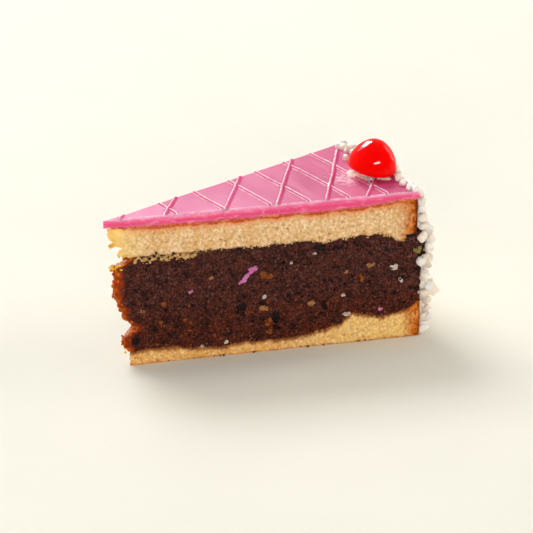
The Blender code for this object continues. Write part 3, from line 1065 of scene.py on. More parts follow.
@dataclass
class WedgeLayer:
    """One layer of the slice as a closed shell.

    Rings of points run round the slice, along the near cut, the rim, the far cut and the tip.
    They climb from a pole under the layer over its walls to a pole on top.
    """

    frame: SliceFrame
    name: str
    under: Height
    over: Height
    tip: Curve
    rim: float
    rows: int
    columns: int
    tip_columns: int = 10
    rim_columns: int = 44
    torn: float = 0.8 * MM
    centre: float = 78 * MM
    tip_lean: float = 0.30
    crowding: float = 1.25
    nose_round: float = 0.4
    insets: tuple[float, ...] = (0.985, 0.95, 0.85, 0.6, 0.3)

    def outline(self) -> tuple[Array, Array]:
        """Walk round the slice, with columns that crowd towards the tip.

        Returns:
            Share of the way from tip to rim, and side from -1 at the near cut to 1 at the far.
        """
        along = np.linspace(0, 1, self.columns, endpoint=False) ** self.crowding
        back = np.linspace(1, 0, self.columns, endpoint=False) ** self.crowding
        across = np.linspace(-1, 1, self.rim_columns, endpoint=False)
        nose = np.linspace(1, -1, self.tip_columns, endpoint=False)
        rim, tip = np.ones(self.rim_columns), np.zeros(self.tip_columns)
        side = np.concatenate((-np.ones(self.columns), across, np.ones(self.columns), nose))
        return np.concatenate((along, rim, back, tip)), side

    def outward(self, share: Array, side: Array) -> Array:
        """Find the way out of the slice round its outline, eased round the corners.

        Args:
            share: share of the way from tip to rim.
            side: side from -1 to 1.

        Returns:
            Level directions of length 1, shape (columns, 2).
        """
        angle, inwards = side * HALF_ANGLE, 1 - np.abs(side)
        across = np.sign(side) * math.cos(HALF_ANGLE)
        cut = np.stack((np.full_like(side, -math.sin(HALF_ANGLE)), across), -1)
        rim = np.stack((np.cos(angle), np.sin(angle)), -1)
        nose = np.stack((-np.ones_like(side), self.nose_round * side), -1)
        to_rim = 0.5 * (ease(share, 0.994, 1.0) + (share >= 1) * ease(inwards, 0, 0.02))[:, None]
        to_nose = 0.5 * (ease(share, 0.02, 0.0) + (share <= 0) * ease(inwards, 0, 0.3))[:, None]
        mixed = cut * (1 - to_rim - to_nose) + rim * to_rim + nose * to_nose
        return mixed / np.linalg.norm(mixed, axis=1, keepdims=True)

    def rim_radius(self, z: Array) -> Array:
        """Radius of the round side at a height."""
        return np.full(np.shape(z), self.rim)

    def tip_radius(self, z: Array, side: Array) -> Array:
        """Radius of the torn tip: its curve and the crumbs that stand out of it.

        Args:
            z: height.
            side: side from -1 to 1.

        Returns:
            The radius, which the far side sets back.
        """
        curve = eased_curve(z / MM, self.tip) * MM * (1 + self.tip_lean * (side + 1) / 2)
        spots = np.stack(np.broadcast_arrays(z, side * 2.5 * MM, z * 0), axis=-1)
        crumbs = Grain.smooth(spots, 2.1 * MM, 41) + 0.5 * Grain.smooth(spots, 0.9 * MM, 42)
        return np.maximum(curve + self.torn * crumbs, 0.9 * MM)

    def wall(self) -> tuple[Array, Array, Array]:
        """Work out the wall before its relief.

        A point's radius runs straight from the tip's to the rim's by its share, and its height
        from the underside's to the top's by its row.

        Returns:
            Places of shape (rows, columns, 3), and radius and height, each (rows, columns).
        """
        share, side = self.outline()
        angle = side * HALF_ANGLE
        level = np.linspace(0, 1, self.rows)[:, None]
        guess = self.rim * share + 6 * MM * (1 - share)
        z = self.under(guess, angle) * (1 - level) + self.over(guess, angle) * level
        for _ in range(2):
            start = self.tip_radius(z, side[None, :])
            r = start + (self.rim_radius(z) - start) * share
            z = self.under(r, angle) * (1 - level) + self.over(r, angle) * level
        return self.frame.seat(r, angle[None, :], z), r, z

    def relief(self, places: Array, r: Array, z: Array) -> tuple[Array, Marks]:
        """Push of the wall out of its face, in metres, and the marks that go with it."""
        return np.zeros(places.shape[:-1]), {}

    def capped(self, wall: Array, height: Height, ring: int) -> tuple[Array, Array]:
        """Run rings in from one edge of the wall to a pole, each the edge drawn in by a share.

        Args:
            wall: places of the wall, shape (rows, columns, 3).
            height: the layer's height on that side.
            ring: the wall's row that the rings start from.

        Returns:
            Rings from the edge inwards, shape (count, columns, 3), and the pole.
        """
        middle = np.array((self.frame.tip_x + self.centre, 0.0))
        edge = wall[ring]
        rings = []
        for share in self.insets:
            level = middle + (edge[:, :2] - middle) * share
            kept = ease(share, 0.94, 1.0)
            z = height(*self.frame.polar(*level.T)) * (1 - kept) + edge[:, 2] * kept
            rings.append(np.concatenate((level, z[:, None]), axis=1))
        zero = np.zeros(1)
        pole = np.array((*middle, height(zero + self.centre, zero)[0]))
        return np.stack(rings), pole

    def make(self) -> Object:
        """Build the layer's mesh with its relief and marks.

        Returns:
            The new piece.
        """
        places, r, z = self.wall()
        push, marks = self.relief(places, r, z)
        slim = np.clip(2 * r * math.tan(HALF_ANGLE) / (5 * MM), 0.15, 1)
        places[..., :2] += self.outward(*self.outline()) * (push * slim)[..., None]
        below, low_pole = self.capped(places, self.under, 0)
        above, high_pole = self.capped(places, self.over, -1)
        rings = np.concatenate((below[::-1], places, above))
        vertices, faces = closed_shell(rings, low_pole, high_pole)
        for name, values in marks.items():
            spread = np.pad(values, ((len(below), len(above)), (0, 0)), "edge").ravel()
            marks[name] = np.concatenate((spread, (0.0, 0.0)))
        return build_mesh(self.name, vertices, faces, marks)


@dataclass
class SpongeLayer(WedgeLayer):
    """A layer of yellow sponge with open pores, browned at the rim."""

    upper: bool = True

    def relief(self, places: Array, r: Array, z: Array) -> tuple[Array, Marks]:
        """Pores sunk where a strewn point is near, on a gently uneven cut.

        Browning and stains are eased steps of the distance to the rim, the top or the base.

        Args:
            places: places of the wall, shape (rows, columns, 3).
            r: radius.
            z: height.

        Returns:
            Push out of the face in metres, and browning, stains, painted pore shade and painted
            tip glow.
        """
        near, _, tone = Grain.cells(places, 1.9 * MM, 51)
        small, _, small_tone = Grain.cells(places, 0.9 * MM, 61)
        pits = ease(near, 0.46, 0.12) * ease(tone, 0.45, 0.95)
        fine = ease(small, 0.50, 0.2) * ease(small_tone, 0.5, 1.0)
        wave = Grain.rough(places, 6 * MM, 4, 71)
        push = 0.40 * MM * wave - 0.15 * MM * pits - 0.03 * MM * fine
        soft = Grain.smooth(places, 2.4 * MM, 81) * MM
        rough = Grain.smooth(places, 1.1 * MM, 82) * MM
        _, angle = self.frame.polar(places[..., 0], places[..., 1])
        inside = self.rim - r
        depth = self.over(r, angle) - z
        lift = z - self.under(r, angle)
        golden = ease(inside + 1.6 * soft + 1.2 * rough, 8.2 * MM, 0.4 * MM)
        crust = ease(inside + 0.7 * soft + 0.3 * rough, 1.8 * MM, 0.3 * MM)
        # pit: the sunk pores, which the finish paints darker as shade
        marks = {"pit": np.clip(pits + 0.5 * fine, 0, 1)}
        if self.upper:
            stain = np.clip(1 - (depth + 0.5 * soft) / (3.6 * MM), 0, 1)
            return push, marks | {
                "golden": golden,
                "crust": crust * 0.9,
                "stain": stain**1.3 * 0.95,
                "line": ease(depth + 0.5 * soft + 0.3 * rough, 1.0 * MM, 0.1 * MM),
                # painted light: glow of light through the thin tip
                "glow": ease(r + 2.4 * soft, 19 * MM, 4.0 * MM),
                "soak": 0.6 * ease(lift + 0.35 * (rough + soft), 0.65 * MM, 0.1 * MM),
            }
        return push, marks | {
            "golden": np.maximum(golden, 0.5 * ease(z + 0.3 * soft, 0.9 * MM, 0.2 * MM)),
            "crust": crust * 0.45,
            "soak": ease(depth + 0.5 * rough + 0.4 * soft, 2.1 * MM, 0.3 * MM),
        }


@dataclass
class FillingLayer(WedgeLayer):
    """The thick dark filling of crumbs, torn at the tip."""

    def rim_radius(self, z: Array) -> Array:
        """Radius of the round side, where the filling is pressed out under the upper sponge."""
        return self.rim + self.frame.bulge(z)

    def relief(self, places: Array, r: Array, z: Array) -> tuple[Array, Marks]:
        """Crumbs of several sizes that bulge, with gaps between some of them that are painted dark
        as shade.

        A crumb stands out most at its strewn point, and sinks half way to the next one.

        Args:
            places: places of the wall, shape (rows, columns, 3).
            r: radius.
            z: height.

        Returns:
            Push out of the face in metres, and its painted shade, pale crumbs, tan strip and
            painted edge glow.
        """
        big, _, big_tone = Grain.cells(places, 3.2 * MM, 101)
        small, small_second, small_tone = Grain.cells(places, 1.45 * MM, 111)
        fine, _, fine_tone = Grain.cells(places, 0.75 * MM, 115)
        gap = ease(small_second - small, 0.20, 0.03)
        hole = ease(big, 0.30, 0.12) * (big_tone > 0.70)
        wave = Grain.rough(places, 6 * MM, 3, 121)
        push = 0.45 * MM * wave + 0.42 * MM * (0.5 - small) + 0.40 * MM * (big_tone - 0.5)
        push += 0.26 * MM * (0.5 - fine) * (0.4 + fine_tone) - 0.30 * MM * gap - 0.8 * MM * hole
        _, angle = self.frame.polar(places[..., 0], places[..., 1])
        depth = r - self.tip_radius(z, angle / HALF_ANGLE)
        below_top = self.over(r, angle) - z
        soft = Grain.smooth(places, 2.0 * MM, 131)
        # painted light: fiery sets how strong the painted gold glow is along the torn edge
        fiery = 0.4 + 0.6 * np.maximum(ease(z, 33 * MM, 40 * MM), bell(z, 9 * MM, 5 * MM))
        fiery = fiery * ease(Grain.smooth(places, 1.6 * MM, 132), -0.3, 0.3)
        strip = bell(r, 25 * MM, 11 * MM) * ease(below_top, 1.2 * MM, 0.2 * MM)
        return push, {
            # pit, and the lower tone in the gaps: painted shade between crumbs and in holes
            "pit": np.clip(0.6 * gap * (small_tone > 0.35) + hole, 0, 1),
            "tone": np.clip(0.35 + 0.65 * fine_tone - 0.5 * gap, 0, 1),
            "amber": ease(depth + 1.3 * MM * soft, 4.6 * MM, 0.2 * MM) ** 1.2,
            "gold": ease(depth + 0.7 * MM * soft, 1.5 * MM, 0.1 * MM) * fiery,
            "tan": strip * ease(soft, -0.2, 0.3) * 0.7,
        }


# ---- icing


@dataclass
class IcingSheet:
    """The poured icing: cross-sections carried out from the tip to the rim."""

    frame: SliceFrame
    steps: int = 360
    wall_rows: int = 9
    shoulder_rows: int = 6
    top_columns: int = 130
    under_columns: int = 10
    shoulder: float = 0.95 * MM
    start: float = 0.2 * MM
    rim: float = 125.9 * MM
    drag: float = 0.13 * MM
    bulge: float = 0.16 * MM

    def radii(self) -> Array:
        """Radii of the cross-sections, closer together near the tip."""
        share = np.linspace(0, 1, self.steps)
        return self.start + (self.rim - self.start) * (0.75 * share + 0.25 * share**2)

    def rim_drop(self, r: Array) -> Array:
        """How far the face bends down under the nibs."""
        return 1.7 * MM * ease(r, 123.4 * MM, 126 * MM) ** 2

    def top_height(self, r: Array, angle: Array) -> Array:
        """Height of the face with its rounded edges: a quarter circle down at each cut.

        Args:
            r: radius.
            angle: angle.

        Returns:
            The height.
        """
        inside = np.clip(r * (HALF_ANGLE - np.abs(angle)), 0, None)
        bend = np.clip(self.shoulder - inside, 0, self.shoulder) / self.shoulder
        drop = self.shoulder * (1 - np.sqrt(1 - 0.98 * bend**2)) * 0.9
        return self.frame.icing_top(r, angle) - drop - self.rim_drop(r)

    def make(self) -> Object:
        """Build the sheet: near wall, shoulder, face, shoulder, far wall and underside.

        A shoulder is a quarter circle, b (1 - cos t) in from the wall and b (1 - sin t) down.

        Returns:
            The new piece.
        """
        r = self.radii()[:, None]
        level = np.zeros_like(r)
        wide = r * HALF_ANGLE
        bend = np.minimum(self.shoulder, 0.6 * wide)
        wall = np.linspace(0, 1, self.wall_rows, endpoint=False)
        turn = np.linspace(0, np.pi / 2, self.shoulder_rows, endpoint=False)
        face = np.linspace(-1, 1, self.top_columns)
        under = np.linspace(1, -1, self.under_columns + 2)[1:-1]
        low = self.frame.icing_underside(r, level)
        high = self.frame.icing_top(r, level) - self.rim_drop(r)
        inset = wide - bend * (1 - np.cos(turn))
        climb, arch = low + (high - bend - low) * wall, high - bend * (1 - np.sin(turn))
        round_off = level + np.cos(turn) ** 0.7
        # each strip: place across, height, and how much of a cut it is
        strips = (
            (-wide + 0 * wall, climb, level + 1 + 0 * wall),
            (-inset, arch, round_off),
            ((wide - bend) * face, high + 0 * face, level + 0 * face),
            (inset[:, ::-1], arch[:, ::-1], round_off[:, ::-1]),
            (wide + 0 * wall, climb[:, ::-1], level + 1 + 0 * wall),
            (wide * under, low + 0 * under, level + 1 + 0 * under),
        )
        across, z, cut = (np.concatenate(part, axis=1) for part in zip(*strips))
        angle = across / r
        places = self.frame.seat(r, angle, z)
        share = np.clip((z - low) / (high - low), 0, 1)
        poured = self.frame.icing_top(r, angle) - self.frame.icing_top(r, level)
        places[..., 2] += poured * share
        drag = self.drag * Grain.rough(places * (1, 1, 2.2), 3.2 * MM, 3, 151)
        push = (drag + self.bulge * np.sin(np.pi * share)) * cut
        push *= np.sign(across) * np.clip(wide / (2 * MM), 0.1, 1)
        places[..., 0] -= math.sin(HALF_ANGLE) * np.abs(push)
        places[..., 1] += math.cos(HALF_ANGLE) * push
        # pale sugar sparkle on the upper cut face near the tip: partly sugar, partly painted
        # sparkle
        sugar_sheen = bell(r, 40 * MM, 22 * MM) * ease(share, 0.35, 0.8) * (cut > 0)
        sugar_sheen = sugar_sheen * (0.44 + 0.48 * Grain.smooth(places, 1.3 * MM, 9))
        # painted highlight: a pale line along the rounded shoulder
        edge = bell(cut, 0.66, 0.34) * (cut < 0.999)
        marks = {"cut": cut, "smear": self.smear(places), "band": bell(share, 0.36, 0.24)}
        marks["lip"] = np.maximum(edge, sugar_sheen)
        return build_mesh("icing", *carried_section(places), marks)

    def smear(self, places: Array) -> Array:
        """Where a finger of cream brushed the icing in front of the cherry."""
        along = bell(places[..., 0] - self.frame.tip_x, 102.2 * MM, 3.6 * MM)
        return np.clip(1.8 * along * bell(places[..., 1], -5 * MM, 6.5 * MM), 0, 1)


@dataclass
class IcingThreads:
    """The lattice of icing threads, each a low ridge melted on to the face.

    A family's sheen is painted as pale lines along it, each a centre, a half width in ridge half
    widths and a strength.
    """

    frame: SliceFrame
    sheet: IcingSheet
    cross_stations: tuple[float, ...] = (7.0, 27.5, 45.3, 63.2, 77.7, 93.0, 107.4)
    cross_lean: float = -0.070
    slant_stations: tuple[float, ...] = (8.2, 28.3, 55.5, 78.5, 100.4, 122.6)
    slant_leans: tuple[float, ...] = (0.90, 0.857, 0.772, 0.714, 0.687, 0.830)
    cross_sheen: tuple[Triple, ...] = ((0.10, 0.34, 1.5), (-1.40, 0.22, 0.85))
    slant_sheen: tuple[Triple, ...] = ((-0.60, 0.46, 0.98),)
    height: float = 0.56 * MM
    half_width: float = 0.74 * MM
    foot: float = 1.66
    points: int = 27
    buried: float = 0.35 * MM
    pitch: float = 0.40 * MM
    bridge: float = 0.32 * MM
    melt: float = 1.5 * MM
    end_shine: float = 0.30
    rim_limit: float = 121 * MM

    def path(self, station: float, lean: float) -> tuple[Array, Array]:
        """Lay one thread from the near cut to the far cut: x = station + lean * y.

        Args:
            station: where it crosses the middle line, in mm from the tip.
            lean: how far it goes outwards for each step to the left.

        Returns:
            Its points as x and y.
        """
        slope = math.tan(HALF_ANGLE)
        near = -slope * station * MM / (1 + lean * slope)
        far = slope * station * MM / (1 - lean * slope)
        y = np.linspace(near, far, max(8, int((far - near) * math.hypot(1, lean) / self.pitch)))
        spots = np.stack((y, np.full_like(y, station), np.full_like(y, 1.0)), axis=-1)
        wander = 0.28 * MM * Grain.smooth(spots, 9 * MM, int(station * 10))
        return station * MM + lean * y + wander, y

    def cords(self) -> list[tuple[Array, Array, Array, Array, bool]]:
        """Lay every thread.

        Returns:
            Each thread as x, y, extra height and thickness along it, and whether it slants.
        """
        cords = []
        for station in self.cross_stations:
            x, y = self.path(station, self.cross_lean)
            cords.append((*self.trim(x, y, np.zeros_like(y), np.ones_like(y)), False))
        for station, lean in zip(self.slant_stations, self.slant_leans):
            x, y = self.path(station, lean)
            over = np.zeros_like(y)
            for other in self.cross_stations:
                gap = (x - other * MM - self.cross_lean * y) / math.hypot(1, lean)
                over = np.maximum(over, bell(gap, 0.0, 0.9 * MM))
            cords.append((*self.trim(x, y, self.bridge * over, 1 + 0.12 * over), True))
        return cords

    def trim(self, x: Array, y: Array, lift: Array, thick: Array) -> tuple[Array, ...]:
        """End a thread under the border of nibs, and thin it at both ends and near the tip.

        Args:
            x: place along the middle line.
            y: place to the left.
            lift: extra height.
            thick: thickness, where 1 is plain.

        Returns:
            The same four for the part that is kept.
        """
        kept = np.hypot(x, y) < self.rim_limit
        x, y, lift, thick = x[kept], y[kept], lift[kept], thick[kept]
        run = np.concatenate(([0.0], np.cumsum(np.hypot(np.diff(x), np.diff(y)))))
        uneven = 1 + 0.10 * Grain.smooth(np.stack((run, x, y), axis=-1), 4 * MM, 5)
        towards_tip = 0.7 + 0.3 * ease(x, 8 * MM, 20 * MM)
        ends = 0.85 + 0.15 * ease(np.minimum(run, run[-1] - run), 0.0, 0.8 * MM)
        return x, y, lift, thick * uneven * towards_tip * ends

    def make(self) -> Object:
        """Carry the ridge's section, h = H exp(-|u / w|^3), along every thread and join them.

        Returns:
            The new piece.
        """
        across = np.linspace(-self.foot, self.foot, self.points)
        crest = self.height * np.exp(-np.abs(across) ** 3) + 0.02 * MM
        rise = np.concatenate((crest, np.full(3, -self.buried)))
        across = np.concatenate((across, (0.8, 0.0, -0.8)))
        # painted highlight: each family's pale sheen lines across the ridge
        sheens = [
            np.max([power * bell(across, centre, width) for centre, width, power in sheen], axis=0)
            for sheen in (self.cross_sheen, self.slant_sheen)
        ]
        # painted light: from 0.45 half widths out, far flank and foot painted lighter pink, fully
        # on cross threads, 0.4 on slants
        clear = ease(across, 0.45, 0.75)
        across = across * self.half_width
        vertices, quads, fans, pale, bare, count = [], [], [], [], [], 0
        for x, y, lift, thick, slants in self.cords():
            along = np.stack((np.gradient(x), np.gradient(y)), axis=-1)
            along /= np.linalg.norm(along, axis=1, keepdims=True)
            offset = across[None] * thick[:, None]
            side_x = x[:, None] + offset * along[:, 1:]
            side_y = y[:, None] - offset * along[:, :1]
            r = np.hypot(side_x, side_y)
            angle = np.clip(np.arctan2(side_y, side_x), -HALF_ANGLE, HALF_ANGLE)
            order = np.arange(len(x))
            ends = np.minimum(order, order[::-1])[:, None] * self.pitch
            melt = ease(ends, 0.0, self.melt)
            crown = np.where(rise > 0, rise * melt - 0.06 * MM * (1 - melt), rise)
            z = self.sheet.top_height(r, angle) + crown * thick[:, None] + lift[:, None]
            rings = self.frame.seat(r, angle, z)
            shell, faces = closed_shell(rings, rings[0].mean(axis=0), rings[-1].mean(axis=0))
            vertices.append(shell)
            quads.append(faces[0] + count)
            fans.append(faces[1] + count)
            count += len(shell)
            patches = Grain.smooth(np.stack((x, y, 0 * x), axis=-1), 2.2 * MM, 6)[:, None]
            # painted highlight along the thread, with a painted glint near both ends
            lit = sheens[int(slants)] * np.clip(0.95 + 0.30 * patches, 0, 1.05)
            lit = np.maximum(lit, self.end_shine * ease(ends, 1.0 * MM, 0.3 * MM))
            pale += [lit.ravel(), (self.end_shine, self.end_shine)]
            bare += [np.tile(clear * (0.4 if slants else 1.0), len(x)), (0.0, 0.0)]
        blocks = [np.concatenate(quads), np.concatenate(fans)]
        marks = {name: np.zeros(count) for name in ("smear", "band")}
        marks |= {"lip": np.concatenate(pale), "cut": np.concatenate(bare)}
        return build_mesh("icing_threads", np.concatenate(vertices), blocks, marks)


# ---- cherry and cream


@dataclass
class Cherry:
    """The glace cherry: a plump dome on a small flat foot, tilted where it leans on the cream."""

    frame: SliceFrame
    height: float = 13.3 * MM
    radius: float = 9.83 * MM
    foot_share: float = 0.41
    bulge_share: float = 0.172
    taper: float = 1.133
    tilt: float = math.radians(11.2)
    tilt_angle: float = math.radians(151)
    low_rows: int = 22
    high_rows: int = 52
    sides: int = 110

    def profile(self) -> tuple[Array, Array]:
        """Draw the half outline from the foot to the top.

        The side leaves the foot in a quarter turn, r = R (1 - (1 - f)(1 - sin t)), and tapers
        to the top as r = R cos(t)^p and z = H sin(t)^p, where p eases to 1 at the very top.

        Returns:
            Radius and height.
        """
        low = np.pi / 2 * np.linspace(0, 1, self.low_rows, endpoint=False)
        high = np.pi / 2 * np.linspace(0, 1, self.high_rows, endpoint=False)
        bulge = self.bulge_share * self.height
        power = 1 + (self.taper - 1) * (1 - (2 * high / np.pi) ** 4)
        flare = 1 - (1 - self.foot_share) * (1 - np.sin(low))
        radius = np.concatenate((flare, np.cos(high) ** power))
        rise = bulge + (self.height - bulge) * np.sin(high) ** power
        return self.radius * radius, np.concatenate((bulge * (1 - np.cos(low)), rise))

    def make(self) -> Object:
        """Turn the outline round its axis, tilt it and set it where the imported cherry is.

        Returns:
            The new piece.
        """
        rings = spun(*self.profile(), self.sides)
        points, faces = closed_shell(rings, np.zeros(3), np.array((0.0, 0.0, self.height)))
        hinge = Vector((-math.sin(self.tilt_angle), math.cos(self.tilt_angle), 0.0))
        lean = np.array(Matrix.Rotation(-self.tilt, 3, hinge))
        points = points @ lean.T
        points *= 1 + 0.010 * Grain.smooth(points, 7 * MM, 9)[:, None]
        points += self.frame.cherry_middle - (points.max(axis=0) + points.min(axis=0)) / 2
        return build_mesh("cherry", points, faces)


@dataclass
class CreamDab:
    """The ragged dab of cream under the cherry, piled up where the cherry leans on it."""

    frame: SliceFrame
    sheet: IcingSheet
    sides: int = 150
    rings: int = 34
    reach: float = 5.0 * MM
    height: float = 2.6 * MM

    def lobe(self, turn: Array, centre: float, spread: float) -> Array:
        """A bump of height 1 round one direction, in degrees."""
        away = (turn - math.radians(centre) + np.pi) % (2 * np.pi) - np.pi
        return np.exp(-((away / math.radians(spread)) ** 2))

    def edge(self, turn: Array) -> Array:
        """How far the cream runs out in each direction: a plain reach, four lobes, a rough rim.

        Args:
            turn: direction round the dab's middle.

        Returns:
            The distance.
        """
        round_about = np.stack((np.cos(turn), np.sin(turn), 0 * turn), axis=-1)
        ragged = Grain.smooth(round_about, 0.16, 3) + 0.7 * Grain.smooth(round_about, 0.07, 4)
        lobes = ((4.2, 140, 34), (4.6, -62, 15), (2.2, 205, 20), (1.6, 160, 5))
        out = sum(length * self.lobe(turn, centre, spread) for length, centre, spread in lobes)
        return self.reach + (out + 0.9 * ragged) * MM

    def make(self) -> Object:
        """Build the dab: rings from the crest under the cherry out to its thin ragged edge.

        The height falls off outwards as (1 - s^2.2)^0.7, and is roughened by small peaks.

        Returns:
            The new piece.
        """
        centre = self.frame.cherry_middle
        turn = 2 * np.pi * np.arange(self.sides) / self.sides
        share = np.linspace(0.15, 1.0, self.rings)[:, None]
        reach = self.edge(turn)[None, :]
        x = centre[0] + share * reach * np.cos(turn)
        y = centre[1] + share * reach * np.sin(turn)
        ground = self.sheet.top_height(*self.frame.polar(x, y))
        peaks = 1 + 0.9 * Grain.rough(np.stack((x, y, 0 * x), axis=-1), 1.3 * MM, 3, 15)
        dome = np.clip(1 - share**2.2, 0, 1) ** 0.7
        piled = 0.30 + 0.70 * self.lobe(turn, 150, 52)[None, :]
        z = ground + self.height * piled * dome * peaks
        bottom = np.stack((x[-1:], y[-1:], ground[-1:] - 0.25 * MM), axis=-1)
        rings = np.concatenate((np.stack((x, y, z), axis=-1), bottom))
        crown = np.array((centre[0], centre[1], float(z[0].mean())))
        foot = np.array((centre[0], centre[1], self.frame.top - 0.3 * MM))
        vertices, faces = closed_shell(rings, crown, foot)
        return build_mesh("cream_dab", vertices, faces, {"tone": np.zeros(len(vertices))})


# ---- rim coat

# distance along the near cut, height, half size and distance out of the cut, all in mm
EDGE_NIBS = (
    (128.2, 2.6, 1.95, -0.9), (129.2, 7.4, 2.0, -1.0), (129.8, 11.3, 1.5, -0.8),
    (129.8, 14.7, 1.3, -0.6), (128.3, 17.9, 1.9, -0.8), (132.0, 18.5, 2.1, -1.4),
    (127.3, 21.6, 1.7, -0.4), (131.0, 21.6, 1.5, -1.2), (128.1, 25.9, 1.9, -0.8),
    (129.9, 28.9, 1.4, -1.0), (126.0, 31.5, 1.75, 0.5), (130.0, 32.0, 1.5, -1.0),
    (130.2, 35.4, 1.6, -1.2), (126.5, 41.8, 1.95, 0.6), (130.4, 40.2, 1.9, -1.2),
    (130.2, 44.0, 1.5, -1.4), (127.4, 45.8, 1.25, -0.2), (126.9, 49.4, 1.9, -0.9),
    (126.7, 53.0, 2.0, -0.9), (126.9, 56.3, 1.2, -0.8),
)
# radius in mm, angle in degrees, height above the icing and half size in mm
BORDER_NIBS = (
    (123.9, -13.9, 0.9, 1.45), (121.9, -13.0, 1.0, 1.45), (120.9, -10.9, 1.1, 1.4),
    (121.2, -8.2, 1.4, 1.75), (123.2, -5.7, 1.7, 1.6), (124.6, -3.6, 1.5, 1.6),
    (114.9, 6.6, 0.8, 1.3), (121.6, 12.0, 0.3, 1.4), (124.0, 12.3, 0.6, 1.5),
    (121.0, 9.8, 0.3, 1.4), (124.2, 9.8, 0.7, 1.5),
)


@dataclass
class RimCoat:
    """Pale icing on the round side and the nibs that it holds."""

    frame: SliceFrame
    thickness: float = 1.2 * MM
    setback: float = 1.5 * MM
    border_inner: float = 124.0 * MM
    nib_pitch: float = 3.3 * MM
    nib_half: float = 1.95 * MM
    swelling: float = 1.12
    sunk: float = 0.6 * MM
    lumpiness: float = 0.55 * MM
    lowest: float = 1.7 * MM
    cherry_room: tuple[float, ...] = (10.4 * MM, 10.4 * MM, 8.2 * MM)
    seed: int = 77

    def side_radius(self, z: Array) -> Array:
        """Radius of the cake's side under the coat, stepped out below the upper sponge."""
        upper, lower = self.frame.sponge_rim + 0.3 * MM, self.frame.filling_rim + 0.1 * MM
        return upper + (lower - upper) * ease(z, 46.5 * MM, 42.5 * MM) + self.frame.bulge(z)

    def core(self) -> Object:
        """Build the icing under the nibs: a section carried round the rim, with lumps.

        The section climbs the cake's side, goes over the border in half a circle laid low, and
        comes down one thickness further out.

        Returns:
            The new piece.
        """
        top = self.frame.top - self.sunk
        rise = np.linspace(0, top, 60)
        arch = np.linspace(0, np.pi, 22)
        half = (self.side_radius(np.array(60 * MM)) + self.thickness - self.border_inner) / 2
        over = self.border_inner + half * (1 - np.cos(arch))
        side = self.side_radius(rise)
        lip = self.border_inner + 0.3 * MM
        radius = np.concatenate((side - 0.4 * MM, (lip,), over, side[::-1] + self.thickness))
        bow = top + 0.4 * MM * np.sin(arch)
        height = np.concatenate((rise, (top + 0.1 * MM,), bow, rise[::-1]))
        outside = np.arange(len(radius)) > len(rise)
        angle = np.linspace(-1, 1, 110)[:, None] * (HALF_ANGLE - self.setback / CAKE_RADIUS)
        places = self.frame.seat(radius, angle, height)
        lumps = self.lumpiness * Grain.rough(places, 3.6 * MM, 3, 7) * outside
        z = np.maximum(height + 0.4 * lumps * (height > 0), 0)
        vertices, faces = carried_section(self.frame.seat(radius + lumps, angle, z))
        return build_mesh("rim_icing", vertices, faces, {"tone": np.full(len(vertices), 0.35)})

    def wall_nibs(self, generator: Generator) -> tuple[Array, Array]:
        """Strew nibs over the round side in jittered rows.

        Args:
            generator: draws the nibs.

        Returns:
            Places, and sizes against the usual nib.
        """
        arc = 2 * HALF_ANGLE * CAKE_RADIUS
        across = int(arc / self.nib_pitch)
        step, ceiling = 0.9 * self.nib_pitch, self.frame.top - 1 * MM
        rows = int(ceiling / step)
        column, row = np.meshgrid(np.arange(across + 1), np.arange(rows))
        column, row = column.ravel().astype(float), row.ravel().astype(float)
        jitter = generator.uniform(-0.36, 0.36, size=(2, len(row)))
        share = ((column + 0.5 * (row % 2) + jitter[0]) / (across + 0.5) * 2 - 1) * 0.97
        z = (row + 0.6 + jitter[1]) * step
        lift = generator.uniform(0.0, 1.0, size=len(row)) ** 1.6 * 2.4 * ease(z, 60 * MM, 52 * MM)
        r = self.side_radius(z) + (1.35 + lift - 0.8 * ease(z, 52 * MM, 58 * MM)) * MM
        places = self.frame.seat(r, share * HALF_ANGLE, z)
        kept = (generator.uniform(size=len(row)) > 0.05) & (z < ceiling)
        return places[kept], generator.uniform(0.78, 1.15, size=len(row))[kept]

    def edge_nibs(self, generator: Generator) -> tuple[Array, Array]:
        """Place the nibs that end the coat at both cuts, the far ones at heights of their own.

        Args:
            generator: draws the far ones.

        Returns:
            Places, and sizes against the usual nib.
        """
        along, up, half, out = np.array(EDGE_NIBS).T * MM
        near = self.frame.on_cut(along, up, out)
        count = len(along)
        heights = np.sort(up + generator.uniform(-1.0, 1.0, count) * MM)
        order = generator.permutation(count)
        reach = self.side_radius(heights) + generator.uniform(0.8, 3.2, count) * MM
        far = self.frame.on_cut(reach, np.maximum(heights, 2 * MM), np.full(count, -1.0 * MM), 1)
        return np.concatenate((near, far)), np.concatenate((half, half[order])) / self.nib_half

    def border_nibs(self, generator: Generator) -> tuple[Array, Array]:
        """Place the nibs on the border: one row near the near cut, two behind the cherry.

        Args:
            generator: draws the rows behind the cherry.

        Returns:
            Places, and sizes against the usual nib.
        """
        r, angle, rise, half = np.array(BORDER_NIBS).T
        places = [self.frame.seat(r * MM, np.radians(angle), self.frame.top + rise * MM)]
        sizes = [half * MM / self.nib_half]
        for radius, z in ((121.4, 0.9), (124.9, 1.1)):
            count = 12
            spread = (np.arange(count) + generator.uniform(-0.3, 0.3, count) + 0.5) / count
            angle = np.radians(-3.5 + 16.4 * spread)
            around = radius * MM + generator.uniform(-0.6, 0.6, count) * MM
            height = self.frame.top + z * MM + generator.uniform(-0.4, 0.7, count) * MM
            places.append(self.frame.seat(around, angle, height))
            sizes.append(generator.uniform(0.68, 0.95, count))
        return np.concatenate(places), np.concatenate(sizes)

